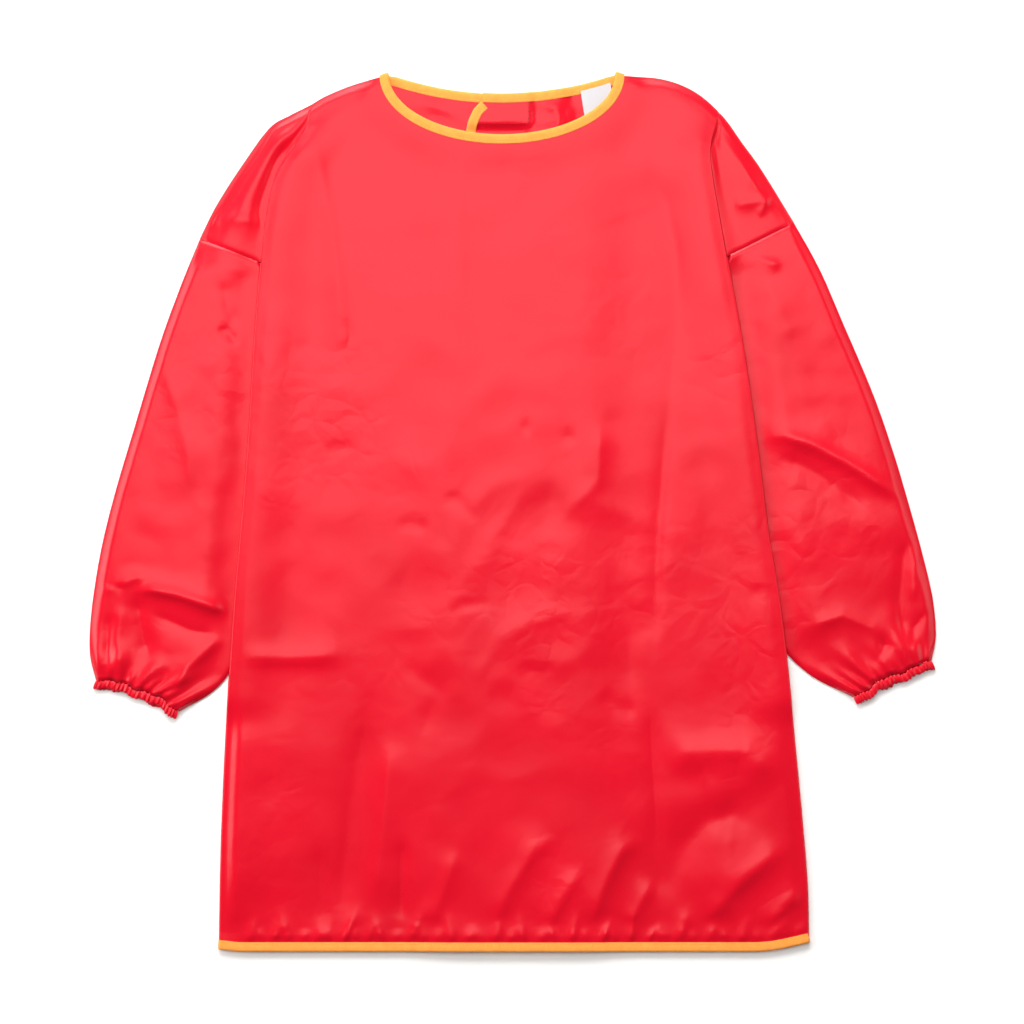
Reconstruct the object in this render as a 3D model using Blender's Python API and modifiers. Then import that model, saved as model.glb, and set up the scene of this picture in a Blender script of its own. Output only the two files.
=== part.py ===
"""A child's long-sleeved school smock of coated nylon, laid out flat with its front up.

The neckline points to +Y, the front faces +Z, and the garment rests on the plane z = 0. "Left" and
"right" are as seen from above. The sizes are real ones in millimetres, and MM turns them to metres.
"""
import math
from collections import namedtuple

import bmesh
import bpy
from mathutils import Vector

MM = 0.001

# The layers. One layer of cloth is drawn as a 1 mm wall, and heights are those of its middle.
WALL = 1.0
HALF_WALL = WALL / 2
SEAM_GAP = 0.3
TAPE = 2.0  # bias tape folded in half
HALF_TAPE = TAPE / 2
TAPE_WIDTH = 7.0
TAPE_REACH = TAPE_WIDTH + SEAM_GAP  # from a free edge to the cloth that it binds

# The body
HEM_Y = -325.6
HEM_EDGE = HEM_Y + TAPE_REACH
FOLD_RADIUS = 1.45
SEAM_TUCK = 6.0  # how far under each side fold the side seam lies
FRONT_REST = 3.6  # height of the front where nothing lifts it
SLEEVE_LIFT = 3.0  # what the sleeve that is tucked under each side adds
SIDE_SLOPE = 45.0  # how far in from the side folds the front stays lifted
SEAM_STEP = 0.65  # half the height between the front and the back at the shoulder seam
RIDGE_TOP_Y = 299.0  # where the ridges meet the shoulder seams

# The neckline
NECK_X = -8.1
NECK_Y = 322.9
NECK_HALF_WIDTH = 83.6
FRONT_NECK_DEPTH = 44.7
BACK_NECK_DEPTH = 14.3
NECK_CORNER_RADIUS = 1.5
NECK_CORNER_STEPS = 3
NECK_HEIGHT = 6.0
NECK_CORNER_DROP = 1.0
NECK_ROLL_RISE = 1.8  # what the fold of the binding adds under the end of each shoulder seam

# The opening down the back: the right half lies over the left half
LEFT_EDGE_X = 26.0
EDGE_TOP_Y = 299.5  # where the tapes on the two edges end under the neck binding
RIGHT_NECK_Y = 304.0  # where the free edge of the right half meets the neckline
OPENING_X = 3.0
OPENING_RISE = 1.5
OPENING_HEM_RISE = 1.9
# What each thing under the right half adds to its height
OVER_CLOTH = 1.4
OVER_TAPE = 2.5
OVER_NECK_TAPE = 2.9
OVER_HEM_TAPE = 2.8
OVER_PATCHES = 4.4
NEAR_TAPE = 0.4
PATCH_LENGTH = 27.0
PATCH_WIDTH = 13.0
PATCH_X = -3.0
PATCH_Y = 293.8
PATCH_THICKNESS = 1.0

LABEL_WIDTH = 22.0
LABEL_LENGTH = 38.0
LABEL_X = 61.0
LABEL_DROP = 1.5  # below the lower edge of the neck binding

CUFF_WIDTH = 6.0
CUFF_WALL = 1.6
CUFF_GAP = 2.2  # height between the middles of its two layers
CUFF_SET = 0.5  # from the end of the sleeve to the casing's first row
CUFF_RUCHE = 0.25
GATHERS = 11
GATHER_HEIGHT = 0.9
HEM_PUCKERS = 29
HEM_PUCKER_HEIGHT = 0.9

# How finely each piece is cut into facets
NECK_COLUMNS = 16
SHOULDER_COLUMNS = (5, 6)
FRONT_COLUMNS = NECK_COLUMNS + sum(SHOULDER_COLUMNS)
SLEEVE_FACETS = 24
GATHER_FACETS = 72

# Rows of facets up the skirt and chest, closest where the sleeves slip under the sides
BODY_ROWS = (-290.0, -258.0, -226.0, -194.0, -160.0, -136.0, -112.0, -90.0, -68.0, -46.0, -24.0, -2.0,
             20.0, 42.0, 64.0, 86.0, 108.0, 130.0, 148.0, 163.0, 177.0)
# The back is plainer, and has fewer
BACK_ROWS = (-290.0, -226.0, -160.0, -136.0, -90.0, -46.0, -24.0, -2.0, 42.0, 86.0, 130.0,
             163.0, 177.0)
# Further rows of the tapes on the two back edges, above those of the body
EDGE_ROWS = (200.0, 225.0, 248.0, 264.0, 273.0, 280.0, 286.0)

LEFT, RIGHT = 0, 1
OUTWARD = (-1, 1)

# The outline of the body, from the hem to the shoulders: the side folds, and above the underarms
# the ridges that part the chest from the dropped shoulders
Section = namedtuple("Section", "y left right")
BODY = (
    Section(-325.6, -217.8, 219.4),
    Section(-280.0, -217.2, 218.6),
    Section(-236.0, -216.1, 215.3),
    Section(-166.0, -213.0, 208.7),
    Section(-110.0, -209.5, 203.2),
    Section(-57.0, -205.8, 196.4),
    Section(-19.0, -202.3, 190.0),
    Section(53.0, -196.3, 181.0),
    Section(122.0, -192.2, 170.9),
    Section(185.0, -187.2, 159.8),
    Section(226.0, -182.2, 152.6),
    Section(248.0, -176.0, 149.0),
    Section(268.0, -164.0, 147.5),
    Section(285.0, -154.5, 151.5),
    Section(299.0, -152.0, 155.5),
)
UNDERARM = ((-187.0, 183.5), (159.3, 188.0))
UNDERARM_SLANT = 4.5  # how far the end of each side fold slants down round the underarm
SHOULDER_TIP = ((-231.6, 201.3), (207.9, 213.1))
# The shoulder line of each side, as (x, y) from left to right
SHOULDERS = (
    ((-231.6, 201.3), (-219.8, 225.0), (-200.0, 256.0), (-179.8, 283.4), (-165.0, 292.5),
     (-150.0, 300.0), (-139.0, 306.4), (-120.0, 314.3), (-98.7, 320.4)),
    ((82.6, 321.4), (111.7, 318.9), (135.4, 309.3), (155.4, 291.6), (170.0, 271.5),
     (182.8, 253.8), (207.9, 213.1)),
)
NECK_CORNER = (Vector((-91.7, 322.6)), Vector((75.5, 323.2)))
# The way along each shoulder from the neck, which is where the neck binding folds over
SHOULDER_WAY = (Vector((-0.954, -0.300)), Vector((0.970, -0.243)))

# Where the back's columns of facets cross the back neckline, from each corner to the centre
BACK_NECK_COLUMNS = ((-62.0, -38.0, -12.0, 8.0), (56.0, 48.0, 40.0, 32.0, 22.0, 13.0, 4.0, -10.0))

# Free edge of the right half of the back, as (y, x)
RIGHT_EDGE = ((-325.6, -22.0), (-150.0, -26.0), (0.0, -34.0), (140.0, -38.0), (230.0, -38.0),
              (280.0, -34.8), (304.0, -23.7))

# Creases and folds that stand up from a layer, or sink into it where the rise is negative
Fold = namedtuple("Fold", "rise width path")
FRONT_FOLDS = (
    Fold(0.5, 5.0, ((-37.7, 265.0), (-37.7, 143.6))),
    Fold(0.8, 9.0, ((-146.5, 277.5), (-130.2, 183.5), (-125.1, 110.3))),
    Fold(1.2, 9.0, ((123.6, 216.0), (119.1, 136.0), (114.0, 53.3), (106.0, -60.0))),
    Fold(1.2, 9.0, ((105.5, -90.0), (105.0, -154.0), (108.0, -265.0))),
    Fold(1.3, 9.0, ((-200.0, -108.0), (-130.0, -108.0))),
    Fold(-1.3, 10.0, ((-108.8, -154.0), (-119.0, -230.0), (-130.2, -303.0))),
    Fold(1.5, 10.0, ((-90.0, -160.0), (-100.0, -230.0), (-108.0, -300.0))),
    Fold(-1.0, 8.0, ((-81.4, -240.0), (-81.4, -303.0))),
    Fold(1.2, 9.0, ((-66.0, -235.0), (-64.0, -300.0))),
    Fold(2.0, 13.0, ((108.0, -265.0), (135.0, -240.0), (163.0, -225.0))),
    Fold(2.2, 12.0, ((149.5, -298.0), (175.0, -272.0), (203.5, -252.0))),
    Fold(-1.2, 16.0, ((118.0, -185.0), (195.0, -200.0))),
    Fold(1.3, 12.0, ((-10.0, -296.0), (14.0, -250.0), (48.0, -205.0))),
    Fold(1.5, 12.0, ((50.0, -300.0), (72.0, -262.0), (88.0, -240.0))),
    Fold(-0.6, 12.0, ((22.0, -296.0), (46.0, -252.0), (72.0, -212.0))),
    Fold(1.2, 12.0, ((-178.0, -300.0), (-170.0, -250.0), (-176.0, -190.0))),
    Fold(0.8, 18.0, ((-80.0, 60.0), (-30.0, 20.0), (30.0, 40.0))),
    Fold(-0.8, 18.0, ((-90.0, 10.0), (-20.0, -30.0), (60.0, 0.0))),
    Fold(0.9, 18.0, ((20.0, 100.0), (70.0, 60.0), (80.0, -10.0))),
    Fold(0.8, 16.0, ((-60.0, -70.0), (-10.0, -100.0), (50.0, -80.0))),
    Fold(-0.8, 16.0, ((-40.0, -130.0), (20.0, -150.0), (70.0, -130.0))),
)
SLEEVE_FOLDS = (
    (Fold(2.2, 9.0, ((-279.0, -58.0), (-245.0, -70.0), (-206.0, -77.0))),
     Fold(-1.0, 8.0, ((-275.0, -76.0), (-243.0, -88.0), (-213.0, -93.0))),
     Fold(1.6, 9.0, ((-296.0, 5.0), (-270.0, -20.0), (-230.0, -30.0))),
     Fold(1.2, 8.0, ((-216.0, 134.0), (-205.0, 122.0), (-198.0, 100.0))),
     Fold(1.2, 10.0, ((-262.0, 110.0), (-245.0, 60.0), (-235.0, 10.0)))),
    (Fold(2.0, 9.0, ((190.0, 55.0), (212.0, 52.0), (240.0, 39.0), (282.0, 14.0))),
     Fold(-1.0, 9.0, ((196.0, 38.0), (222.0, 32.0), (270.0, 0.0))),
     Fold(1.5, 9.0, ((294.0, -10.0), (284.0, -40.0), (284.0, -72.0))),
     Fold(1.3, 9.0, ((186.0, 165.0), (205.0, 130.0), (214.0, 90.0))),
     Fold(1.4, 9.0, ((215.0, -90.0), (240.0, -84.0), (262.0, -92.0)))),
)

# The sleeves, armhole to cuff: the two ends of each ring as it lies, how far its middle bows back
# towards the shoulder, and the height between its layers
Ring = namedtuple("Ring", "outer_x outer_y inner_x inner_y bow height")
SLEEVES = (
    (Ring(-231.7, 200.8, -188.4, 183.4, 0.0, 2.9),
     Ring(-246.5, 164.0, -190.3, 161.0, 0.0, 3.2),
     Ring(-261.6, 122.0, -184.0, 120.0, 0.0, 3.5),
     Ring(-280.8, 58.5, -187.5, 62.0, 0.0, 3.6),
     Ring(-294.0, 14.0, -191.5, 8.0, 0.0, 3.6),
     Ring(-303.5, -24.0, -196.0, -42.0, 1.0, 3.6),
     Ring(-309.5, -58.0, -200.5, -84.0, 2.0, 3.4),
     Ring(-312.6, -86.0, -206.0, -112.0, 3.0, 3.2),
     Ring(-312.6, -107.0, -221.0, -132.5, 4.5, 2.8),
     Ring(-308.4, -124.8, -247.0, -148.2, 5.5, 2.2)),
    (Ring(208.1, 212.6, 161.0, 188.0, 0.0, 2.9),
     Ring(227.0, 178.0, 165.4, 161.0, 0.0, 3.2),
     Ring(243.5, 140.0, 163.0, 118.0, 0.0, 3.5),
     Ring(266.0, 87.0, 170.5, 64.0, 0.0, 3.6),
     Ring(281.0, 44.0, 176.5, 16.0, 0.0, 3.6),
     Ring(293.5, 2.0, 182.5, -28.0, 1.0, 3.6),
     Ring(303.8, -36.0, 189.0, -66.0, 2.0, 3.4),
     Ring(310.5, -66.0, 196.5, -96.0, 3.0, 3.2),
     Ring(312.6, -92.0, 219.0, -120.5, 4.0, 2.8),
     Ring(309.6, -110.6, 251.4, -137.4, 2.5, 2.2)),
)

garment = bpy.data.collections.new("school_smock")


def ramp(value, start, end):
    """Rises smoothly from 0 at start to 1 at end, where start may be the larger."""
    t = min(max((value - start) / (end - start), 0.0), 1.0)
    return t * t * (3 - 2 * t)


def mix(first, second, share):
    return first + (second - first) * share


def read_curve(knots, position):
    """The value at a position on a smooth curve through (position, value) knots."""
    last = len(knots) - 1
    if position <= knots[0][0]:
        return knots[0][1]
    if position >= knots[last][0]:
        return knots[last][1]
    index = max(i for i in range(last) if knots[i][0] <= position)
    before, start = knots[max(index - 1, 0)], knots[index]
    end, after = knots[index + 1], knots[min(index + 2, last)]
    span = end[0] - start[0]
    t = (position - start[0]) / span
    leaving = (end[1] - before[1]) / (end[0] - before[0]) * span
    arriving = (after[1] - start[1]) / (after[0] - start[0]) * span
    from_start = (2 * t**3 - 3 * t**2 + 1) * start[1] + (t**3 - 2 * t**2 + t) * leaving
    return from_start + (3 * t**2 - 2 * t**3) * end[1] + (t**3 - t**2) * arriving


def evenly(start, end, steps):
    return [mix(start, end, step / steps) for step in range(steps + 1)]


def fold_rise(folds, x, y):
    """What a table of folds adds to a layer's height."""
    spot = Vector((x, y))
    rise = 0.0
    for fold in folds:
        nearest = fold.width * 4
        for start, end in zip(fold.path, fold.path[1:]):
            start, end = Vector(start), Vector(end)
            along = (spot - start).dot(end - start) / (end - start).length_squared
            foot = start.lerp(end, min(max(along, 0.0), 1.0))
            nearest = min(nearest, (spot - foot).length)
        rise += fold.rise * math.exp(-((nearest / fold.width) ** 2))
    return rise


# The outline of the body


def side_fold(side, y):
    return read_curve([(section.y, section[1 + side]) for section in BODY], y)


def fold_start(side, y):
    """Where the flat of the front ends and its side fold begins."""
    return side_fold(side, y) - OUTWARD[side] * (HALF_WALL + FOLD_RADIUS)


def side_seam(side, y):
    return fold_start(side, y) - OUTWARD[side] * (SEAM_TUCK + SEAM_GAP)


def sleeve_lift(y):
    """How far the sleeve lifts the side of the back: fully from under the arm to the cuff."""
    return SLEEVE_LIFT * ramp(y, 177, 163) * ramp(y, -160, -136)


def seam_height(y):
    """Height of the side seam, raised a little into the hem binding."""
    return HALF_WALL + sleeve_lift(y) + (HALF_TAPE - HALF_WALL) * ramp(y, HEM_EDGE + 8, HEM_EDGE)


def shoulder_line(x):
    return read_curve(SHOULDERS[LEFT if x < NECK_X else RIGHT], x)


def shoulder_margin(x, y):
    """How far a point lies inside the shoulder line."""
    slope = shoulder_line(x + 0.5) - shoulder_line(x - 0.5)
    return (shoulder_line(x) - y) / math.sqrt(1 + slope * slope)


def from_neck_corner(x):
    return SHOULDERS[LEFT][-1][0] - x if x < NECK_X else x - SHOULDERS[RIGHT][0][0]


def shoulder_seam_height(x):
    """The seam rises to the fold of the neck binding."""
    return HALF_WALL + SEAM_STEP + NECK_ROLL_RISE * ramp(from_neck_corner(x), 20, 0)


def shoulder_seam_step(x):
    """The front and the back part a little where the neck binding folds over."""
    return SEAM_STEP * (1 + ramp(from_neck_corner(x), 14, 0))


# The neckline, where each station is a point on the free edge and the way from it into the cloth


def front_neck(turn):
    """Front neckline: half an ellipse, from 0 at the left corner to 1 at the right one."""
    if turn in (0.0, 1.0):
        side = LEFT if turn == 0.0 else RIGHT
        return NECK_CORNER[side], SHOULDER_WAY[side]
    angle = math.pi * turn
    free = Vector((NECK_X - NECK_HALF_WIDTH * math.cos(angle), NECK_Y - FRONT_NECK_DEPTH * math.sin(angle)))
    into = Vector((-math.cos(angle) / NECK_HALF_WIDTH, -math.sin(angle) / FRONT_NECK_DEPTH))
    return free, into.normalized()


def front_neck_turns(steps):
    """Stations that are neither too far apart round the corners nor too close across the chest."""
    turns = []
    for step in range(steps + 1):
        across = step / steps
        turns.append((across + math.acos(1 - 2 * across) / math.pi) / 2)
    return turns


def back_neck_curve(x):
    across = (x - NECK_X) / NECK_HALF_WIDTH
    free = Vector((x, NECK_Y - BACK_NECK_DEPTH * (1 - across * across)))
    slope = 2 * BACK_NECK_DEPTH * across / NECK_HALF_WIDTH
    return free, Vector((slope, -1.0)).normalized()


def back_neck(side, end_x):
    """Back neckline from a corner to a back edge: a tight turn, and then a shallow curve."""
    corner, way = NECK_CORNER[side], SHOULDER_WAY[side]
    start_x = corner.x - OUTWARD[side] * 6.0
    centre = corner - way * NECK_CORNER_RADIUS
    stations = []
    for step in range(NECK_CORNER_STEPS + 1):
        into = way.lerp(back_neck_curve(start_x)[1], step / NECK_CORNER_STEPS).normalized()
        stations.append((centre + into * NECK_CORNER_RADIUS, into))
    between = [x for x in BACK_NECK_COLUMNS[side] if OUTWARD[side] * (x - end_x) > 0]
    return stations + [back_neck_curve(x) for x in [start_x] + between + [end_x]]


def neck_margin(x, y):
    """About how far a point lies from the cloth's edge at the front neckline."""
    across = (x - NECK_X) / (NECK_HALF_WIDTH + TAPE_REACH)
    down = (y - NECK_Y) / (FRONT_NECK_DEPTH + TAPE_REACH)
    return (math.hypot(across, down) - 1) * (FRONT_NECK_DEPTH + TAPE_REACH)


def neck_height(x):
    return NECK_HEIGHT - NECK_CORNER_DROP * ((x - NECK_X) / NECK_HALF_WIDTH) ** 2


# Heights of the layers


def right_edge(y):
    return read_curve(RIGHT_EDGE, y)


def over_opening(x):
    """1 where the bound edges of the back lie under the front."""
    return ramp(abs(x - OPENING_X), 74, 46)


def front_hem_height(x):
    return HALF_TAPE + 2 * FOLD_RADIUS + OPENING_HEM_RISE * over_opening(x)


def hem_pucker(x, y):
    """The small uneven puckers that the binding's stitches draw up."""
    across = (x - side_fold(LEFT, HEM_Y)) / (side_fold(RIGHT, HEM_Y) - side_fold(LEFT, HEM_Y))
    wave = math.sin(2 * math.pi * HEM_PUCKERS * across) * (0.65 + 0.35 * math.sin(40 * across))
    above = y - HEM_EDGE
    inside = ramp(min(across, 1 - across), 0.01, 0.04)
    return HEM_PUCKER_HEIGHT * wave * inside * (0.3 + 0.7 * ramp(above, 0, 6)) * ramp(above, 26, 8)


def front_height(x, y):
    """Height of the front, over the chest and skirt."""
    from_side = min(x - fold_start(LEFT, y), fold_start(RIGHT, y) - x)
    lifted = seam_height(y) + 2 * FOLD_RADIUS
    height = mix(FRONT_REST + OPENING_RISE * over_opening(x), lifted, ramp(from_side, SIDE_SLOPE, 0))
    fading = ramp(from_side, 0, 12) * ramp(y - HEM_EDGE, 0, 20) * ramp(neck_margin(x, y), 0, 15)
    height += fold_rise(FRONT_FOLDS, x, y) * fading * ramp(shoulder_margin(x, y), 0, 15)
    height = mix(height, neck_height(x), ramp(neck_margin(x, y), 25, 0))
    hem = ramp(y - HEM_EDGE, 25, 0) * ramp(from_side, 0, 20)
    height = mix(height, front_hem_height(x), hem) + hem_pucker(x, y)
    return front_shoulder_height(height, x, y)


def front_shoulder_height(height, x, y):
    """Brings the front down to the shoulder seam in its last few millimetres."""
    return mix(height, shoulder_seam_height(x) + shoulder_seam_step(x), ramp(shoulder_margin(x, y), 5, 0))


def armhole_height(share):
    """Height of the front along the armhole seam: 0 at the underarm, 1 at the shoulder."""
    valley = 0.9 * math.exp(-(((share - 0.17) / 0.12) ** 2))
    top = HALF_WALL + 2 * FOLD_RADIUS
    return mix(top - valley, HALF_WALL + 2 * SEAM_STEP, ramp(share, 0.9, 1.0))


def right_over_left(x, y):
    """What the tapes, the patches and the left half add under the right half of the back."""
    over_cloth = OVER_CLOTH * ramp(x, 16, 8) + NEAR_TAPE * ramp(x - right_edge(y), 16, 8)
    over_tape = OVER_TAPE * ramp(x, 48, 32) * ramp(x, 4, 12)
    over_patches = OVER_PATCHES * ramp(x, 30, 14) * ramp(y, 274, 285)
    over_neck_tape = OVER_NECK_TAPE * ramp(x, 48, 32) * ramp(y, 284, 300)
    over_hem_tape = OVER_HEM_TAPE * ramp(x, 48, 32) * ramp(y, HEM_EDGE + 22, HEM_EDGE + 6)
    return max(over_cloth, over_tape, over_patches, over_neck_tape, over_hem_tape)


def back_height(side, x, y):
    """Height of a half of the back, which rests on the ground but for its lifted edges."""
    from_side = (side_seam(side, y) - x) * OUTWARD[side]
    lift = (seam_height(y) - HALF_WALL) * ramp(from_side, 22, 0)
    tape = HALF_TAPE - HALF_WALL
    hem = tape * ramp(y - HEM_EDGE, 8, 0)
    neck = tape * ramp(y, 290, 302) * ramp(abs(x - NECK_X), 92, 84)
    if side == LEFT:
        centre = tape * ramp(LEFT_EDGE_X - x, 16, 8)
        return HALF_WALL + max(lift, hem, neck, centre)
    return HALF_WALL + max(lift, hem, neck, right_over_left(x, y))


def back_shoulder_height(height, x, y):
    return mix(height, shoulder_seam_height(x) - shoulder_seam_step(x), ramp(shoulder_margin(x, y), 10, 0))


# Pieces of cloth


def material(name, colour, roughness):
    """A cloth's finish, with its colour given in linear light."""
    finish = bpy.data.materials.new(name)
    finish.use_nodes = True
    shader = finish.node_tree.nodes["Principled BSDF"]
    shader.inputs["Base Color"].default_value = (*colour, 1.0)
    shader.inputs["Roughness"].default_value = roughness
    shader.inputs["Metallic"].default_value = 0.0
    return finish


def add_patch(mesh, columns, rows, place):
    """A grid whose every corner is put at place(column, row), given in millimetres."""
    across, along = len(columns) - 1, len(rows) - 1
    grid = bmesh.ops.create_grid(mesh, x_segments=across, y_segments=along, size=0.5)
    chain = {}
    for vert in grid["verts"]:
        column = round((vert.co.x + 0.5) * across)
        row = round((vert.co.y + 0.5) * along)
        vert.co = Vector(place(columns[column], rows[row])) * MM
        chain[column, row] = vert
    return chain


def bridge_rows(mesh, coarse, coarse_row, fine, fine_row):
    """Joins a row of one patch to a row of a patch with three times as many columns."""
    wide = [coarse[key] for key in sorted(coarse) if key[1] == coarse_row]
    narrow = [fine[key] for key in sorted(fine) if key[1] == fine_row]
    for index, (start, end) in enumerate(zip(wide, wide[1:])):
        first, second, third, fourth = narrow[3 * index:3 * index + 4]
        mesh.faces.new((start, first, second))
        mesh.faces.new((start, second, third, end))
        mesh.faces.new((end, third, fourth))


def join_rows(mesh, first, first_row, second, second_row):
    """Joins a row of one patch to a row of another with as many columns."""
    lower = [first[key] for key in sorted(first) if key[1] == first_row]
    upper = [second[key] for key in sorted(second) if key[1] == second_row]
    for pair, above in zip(zip(lower, lower[1:]), zip(upper, upper[1:])):
        mesh.faces.new((pair[0], pair[1], above[1], above[0]))


def finish_cloth(mesh, name, thickness, finish):
    """Closes the seams between a piece's patches and gives it its wall."""
    bmesh.ops.remove_doubles(mesh, verts=mesh.verts, dist=0.01 * MM)
    bmesh.ops.recalc_face_normals(mesh, faces=mesh.faces)
    data = bpy.data.meshes.new(name)
    mesh.to_mesh(data)
    mesh.free()
    data.materials.append(finish)
    data.shade_smooth()
    piece = bpy.data.objects.new(name, data)
    garment.objects.link(piece)
    wall = piece.modifiers.new("cloth_wall", "SOLIDIFY")
    wall.thickness = thickness * MM
    wall.offset = 0.0
    wall.use_even_offset = True
    return piece


def make_front(finish):
    """The front panel: chest and skirt, the two dropped shoulders, and the two side folds."""
    left = evenly(fold_start(LEFT, RIDGE_TOP_Y), SHOULDERS[LEFT][-1][0], SHOULDER_COLUMNS[LEFT])
    right = evenly(SHOULDERS[RIGHT][0][0], fold_start(RIGHT, RIDGE_TOP_Y), SHOULDER_COLUMNS[RIGHT])
    top = [Vector((x, shoulder_line(x))) for x in left]
    for turn in front_neck_turns(NECK_COLUMNS)[1:-1]:
        free, into = front_neck(turn)
        top.append(free + into * TAPE_REACH)
    top += [Vector((x, shoulder_line(x))) for x in right]
    shares = []
    for point in top:
        start, end = fold_start(LEFT, point.y), fold_start(RIGHT, point.y)
        shares.append(min(max((point.x - start) / (end - start), 0.0), 1.0))
    top_line = dict(zip(shares, (point.y for point in top)))
    upper_rows = [0.0, 0.12, 0.25, 0.38, 0.51, 0.64, 0.77, 0.9, 0.97, 1.0]
    fine_rows = [HEM_EDGE, HEM_EDGE + 4, HEM_EDGE + 10, HEM_EDGE + 17]

    def at(share, y):
        x = mix(fold_start(LEFT, y), fold_start(RIGHT, y), share)
        return x, y, front_height(x, y)

    def armhole_row(share):
        return mix(UNDERARM[LEFT][1], UNDERARM[RIGHT][1], share)

    def chest(share, row):
        return at(share, mix(armhole_row(share), top_line[share], row))

    mesh = bmesh.new()
    upper = add_patch(mesh, shares, upper_rows, chest)
    coarse = add_patch(mesh, shares, BODY_ROWS, at)
    finer = []
    for share, following in zip(shares, shares[1:]):
        finer += [mix(share, following, third / 3) for third in range(3)]
    fine = add_patch(mesh, finer + [1.0], fine_rows, at)
    bridge_rows(mesh, coarse, 0, fine, len(fine_rows) - 1)
    join_rows(mesh, coarse, len(BODY_ROWS) - 1, upper, 0)
    for side in (LEFT, RIGHT):
        add_dropped_shoulder(mesh, side, upper_rows, chest)
        add_side_fold(mesh, side, fine_rows + list(BODY_ROWS) + [UNDERARM[side][1]])
    return finish_cloth(mesh, "front", WALL, finish)


def add_dropped_shoulder(mesh, side, rows, chest):
    """The part of the front beyond the ridge, down to the armhole seam."""
    tip = SHOULDER_TIP[side][0]

    def place(share, row):
        ridge = Vector(chest(float(side), row))
        end = fold_start(side, RIDGE_TOP_Y)
        x = mix(tip, end, row)
        outer = Vector((x, shoulder_line(x)))
        spot = ridge.xy.lerp(outer, share)
        height = mix(armhole_height(share), ridge.z, ramp(share, 0.1, 0.0))
        height = mix(height, ridge.z, row * (1 - share))
        height = front_shoulder_height(height, spot.x, spot.y)
        return (*spot, ridge.z if share == 0.0 or row == 1.0 else height)

    columns = [0.0, 0.08, 0.17, 0.3, 0.5, 0.7, 0.88, 0.96, 1.0]
    add_patch(mesh, columns, rows, place)


def side_fold_point(side, y, turn):
    """A point round the side fold: 0 on top, 1 underneath, and above 1 out along the tuck."""
    if y == UNDERARM[side][1]:
        y -= UNDERARM_SLANT * min(turn, 1.0)
    centre_x = fold_start(side, y)
    angle = math.pi * min(turn, 1.0)
    x = centre_x + OUTWARD[side] * FOLD_RADIUS * math.sin(angle)
    z = seam_height(y) + FOLD_RADIUS * (1 + math.cos(angle))
    if turn > 1.0:
        x = centre_x - OUTWARD[side] * SEAM_TUCK
    return x, y, z


def add_side_fold(mesh, side, rows):
    turns = evenly(0.0, 1.0, 4) + [2.0]
    add_patch(mesh, turns, rows, lambda turn, y: side_fold_point(side, y, turn))


def make_back(side, finish):
    """A half of the back, from its bound centre edge to the side seam and the armhole."""
    def centre_edge(y):
        if side == LEFT:
            return LEFT_EDGE_X - TAPE_REACH
        return right_edge(y) + TAPE_REACH

    def underarm_row(share):
        """The armhole seam's line, carried on to the side seam."""
        corner, tip = UNDERARM[side], SHOULDER_TIP[side]
        slope = (tip[1] - corner[1]) / (tip[0] - corner[0])
        end = corner[1] + slope * (side_seam(side, corner[1]) - corner[0])
        return mix(corner[1], end, share)

    neck = back_neck(side, centre_edge(RIGHT_NECK_Y))
    top = [free + into * TAPE_REACH for free, into in reversed(neck)]
    corner_x = SHOULDERS[LEFT][-1][0] if side == LEFT else SHOULDERS[RIGHT][0][0]
    end_x = side_seam(side, RIDGE_TOP_Y)
    top += [Vector((x, shoulder_line(x))) for x in evenly(corner_x, end_x, 3)[1:]]
    columns = [point.x for point in top]
    top_line = dict(zip(columns, top))
    outermost = BACK_NECK_COLUMNS[side][0]
    skirt_rows = [HEM_EDGE, HEM_EDGE + 8, *BACK_ROWS]
    upper_rows = [0.0, 0.3, 0.55, 0.68, 0.76, 0.85, 0.93, 1.0]

    def at(column, y):
        """Columns keep their places over the opening, and spread with the side beyond it."""
        if OUTWARD[side] * (column - outermost) <= 0:
            x = mix(centre_edge(y), outermost, (column - columns[0]) / (outermost - columns[0]))
        else:
            x = mix(outermost, side_seam(side, y), (column - outermost) / (columns[-1] - outermost))
        return x, y, back_shoulder_height(back_height(side, x, y), x, y)

    def upper(column, row):
        share = (column - columns[0]) / (columns[-1] - columns[0])
        return at(column, mix(underarm_row(share), top_line[column].y, row))

    def shoulder(share, row):
        inner = Vector(upper(columns[-1], row))
        x = mix(SHOULDER_TIP[side][0], end_x, row)
        spot = inner.xy.lerp(Vector((x, shoulder_line(x))), share)
        if share == 0.0:
            return tuple(inner)
        height = mix(inner.z, HALF_WALL, min(share * 4, 1.0))
        return (*spot, back_shoulder_height(height, spot.x, spot.y))

    mesh = bmesh.new()
    skirt = add_patch(mesh, columns, skirt_rows, at)
    chest = add_patch(mesh, columns, upper_rows, upper)
    join_rows(mesh, skirt, len(skirt_rows) - 1, chest, 0)
    add_patch(mesh, [0.0, 0.25, 0.6, 1.0], upper_rows, shoulder)
    return finish_cloth(mesh, ("back_left", "back_right")[side], WALL, finish)


def sleeve_ring(side, station):
    """The ring at a station from 0 at the armhole to 1 at the cuff."""
    rings = SLEEVES[side]
    position = station * (len(rings) - 1)
    values = [read_curve([(i, ring[field]) for i, ring in enumerate(rings)], position) for field in range(6)]
    return Ring(*values)


def ring_spot(ring, across):
    """A point on the line from the outer end of a ring to its inner end, and the way to the cuff."""
    outer = Vector((ring.outer_x, ring.outer_y))
    inner = Vector((ring.inner_x, ring.inner_y))
    chord = (inner - outer).normalized()
    away = Vector((chord.y, -chord.x))
    if away.y > 0:
        away.negate()
    return outer.lerp(inner, across) - away * ring.bow * 4 * across * (1 - across), away


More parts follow.
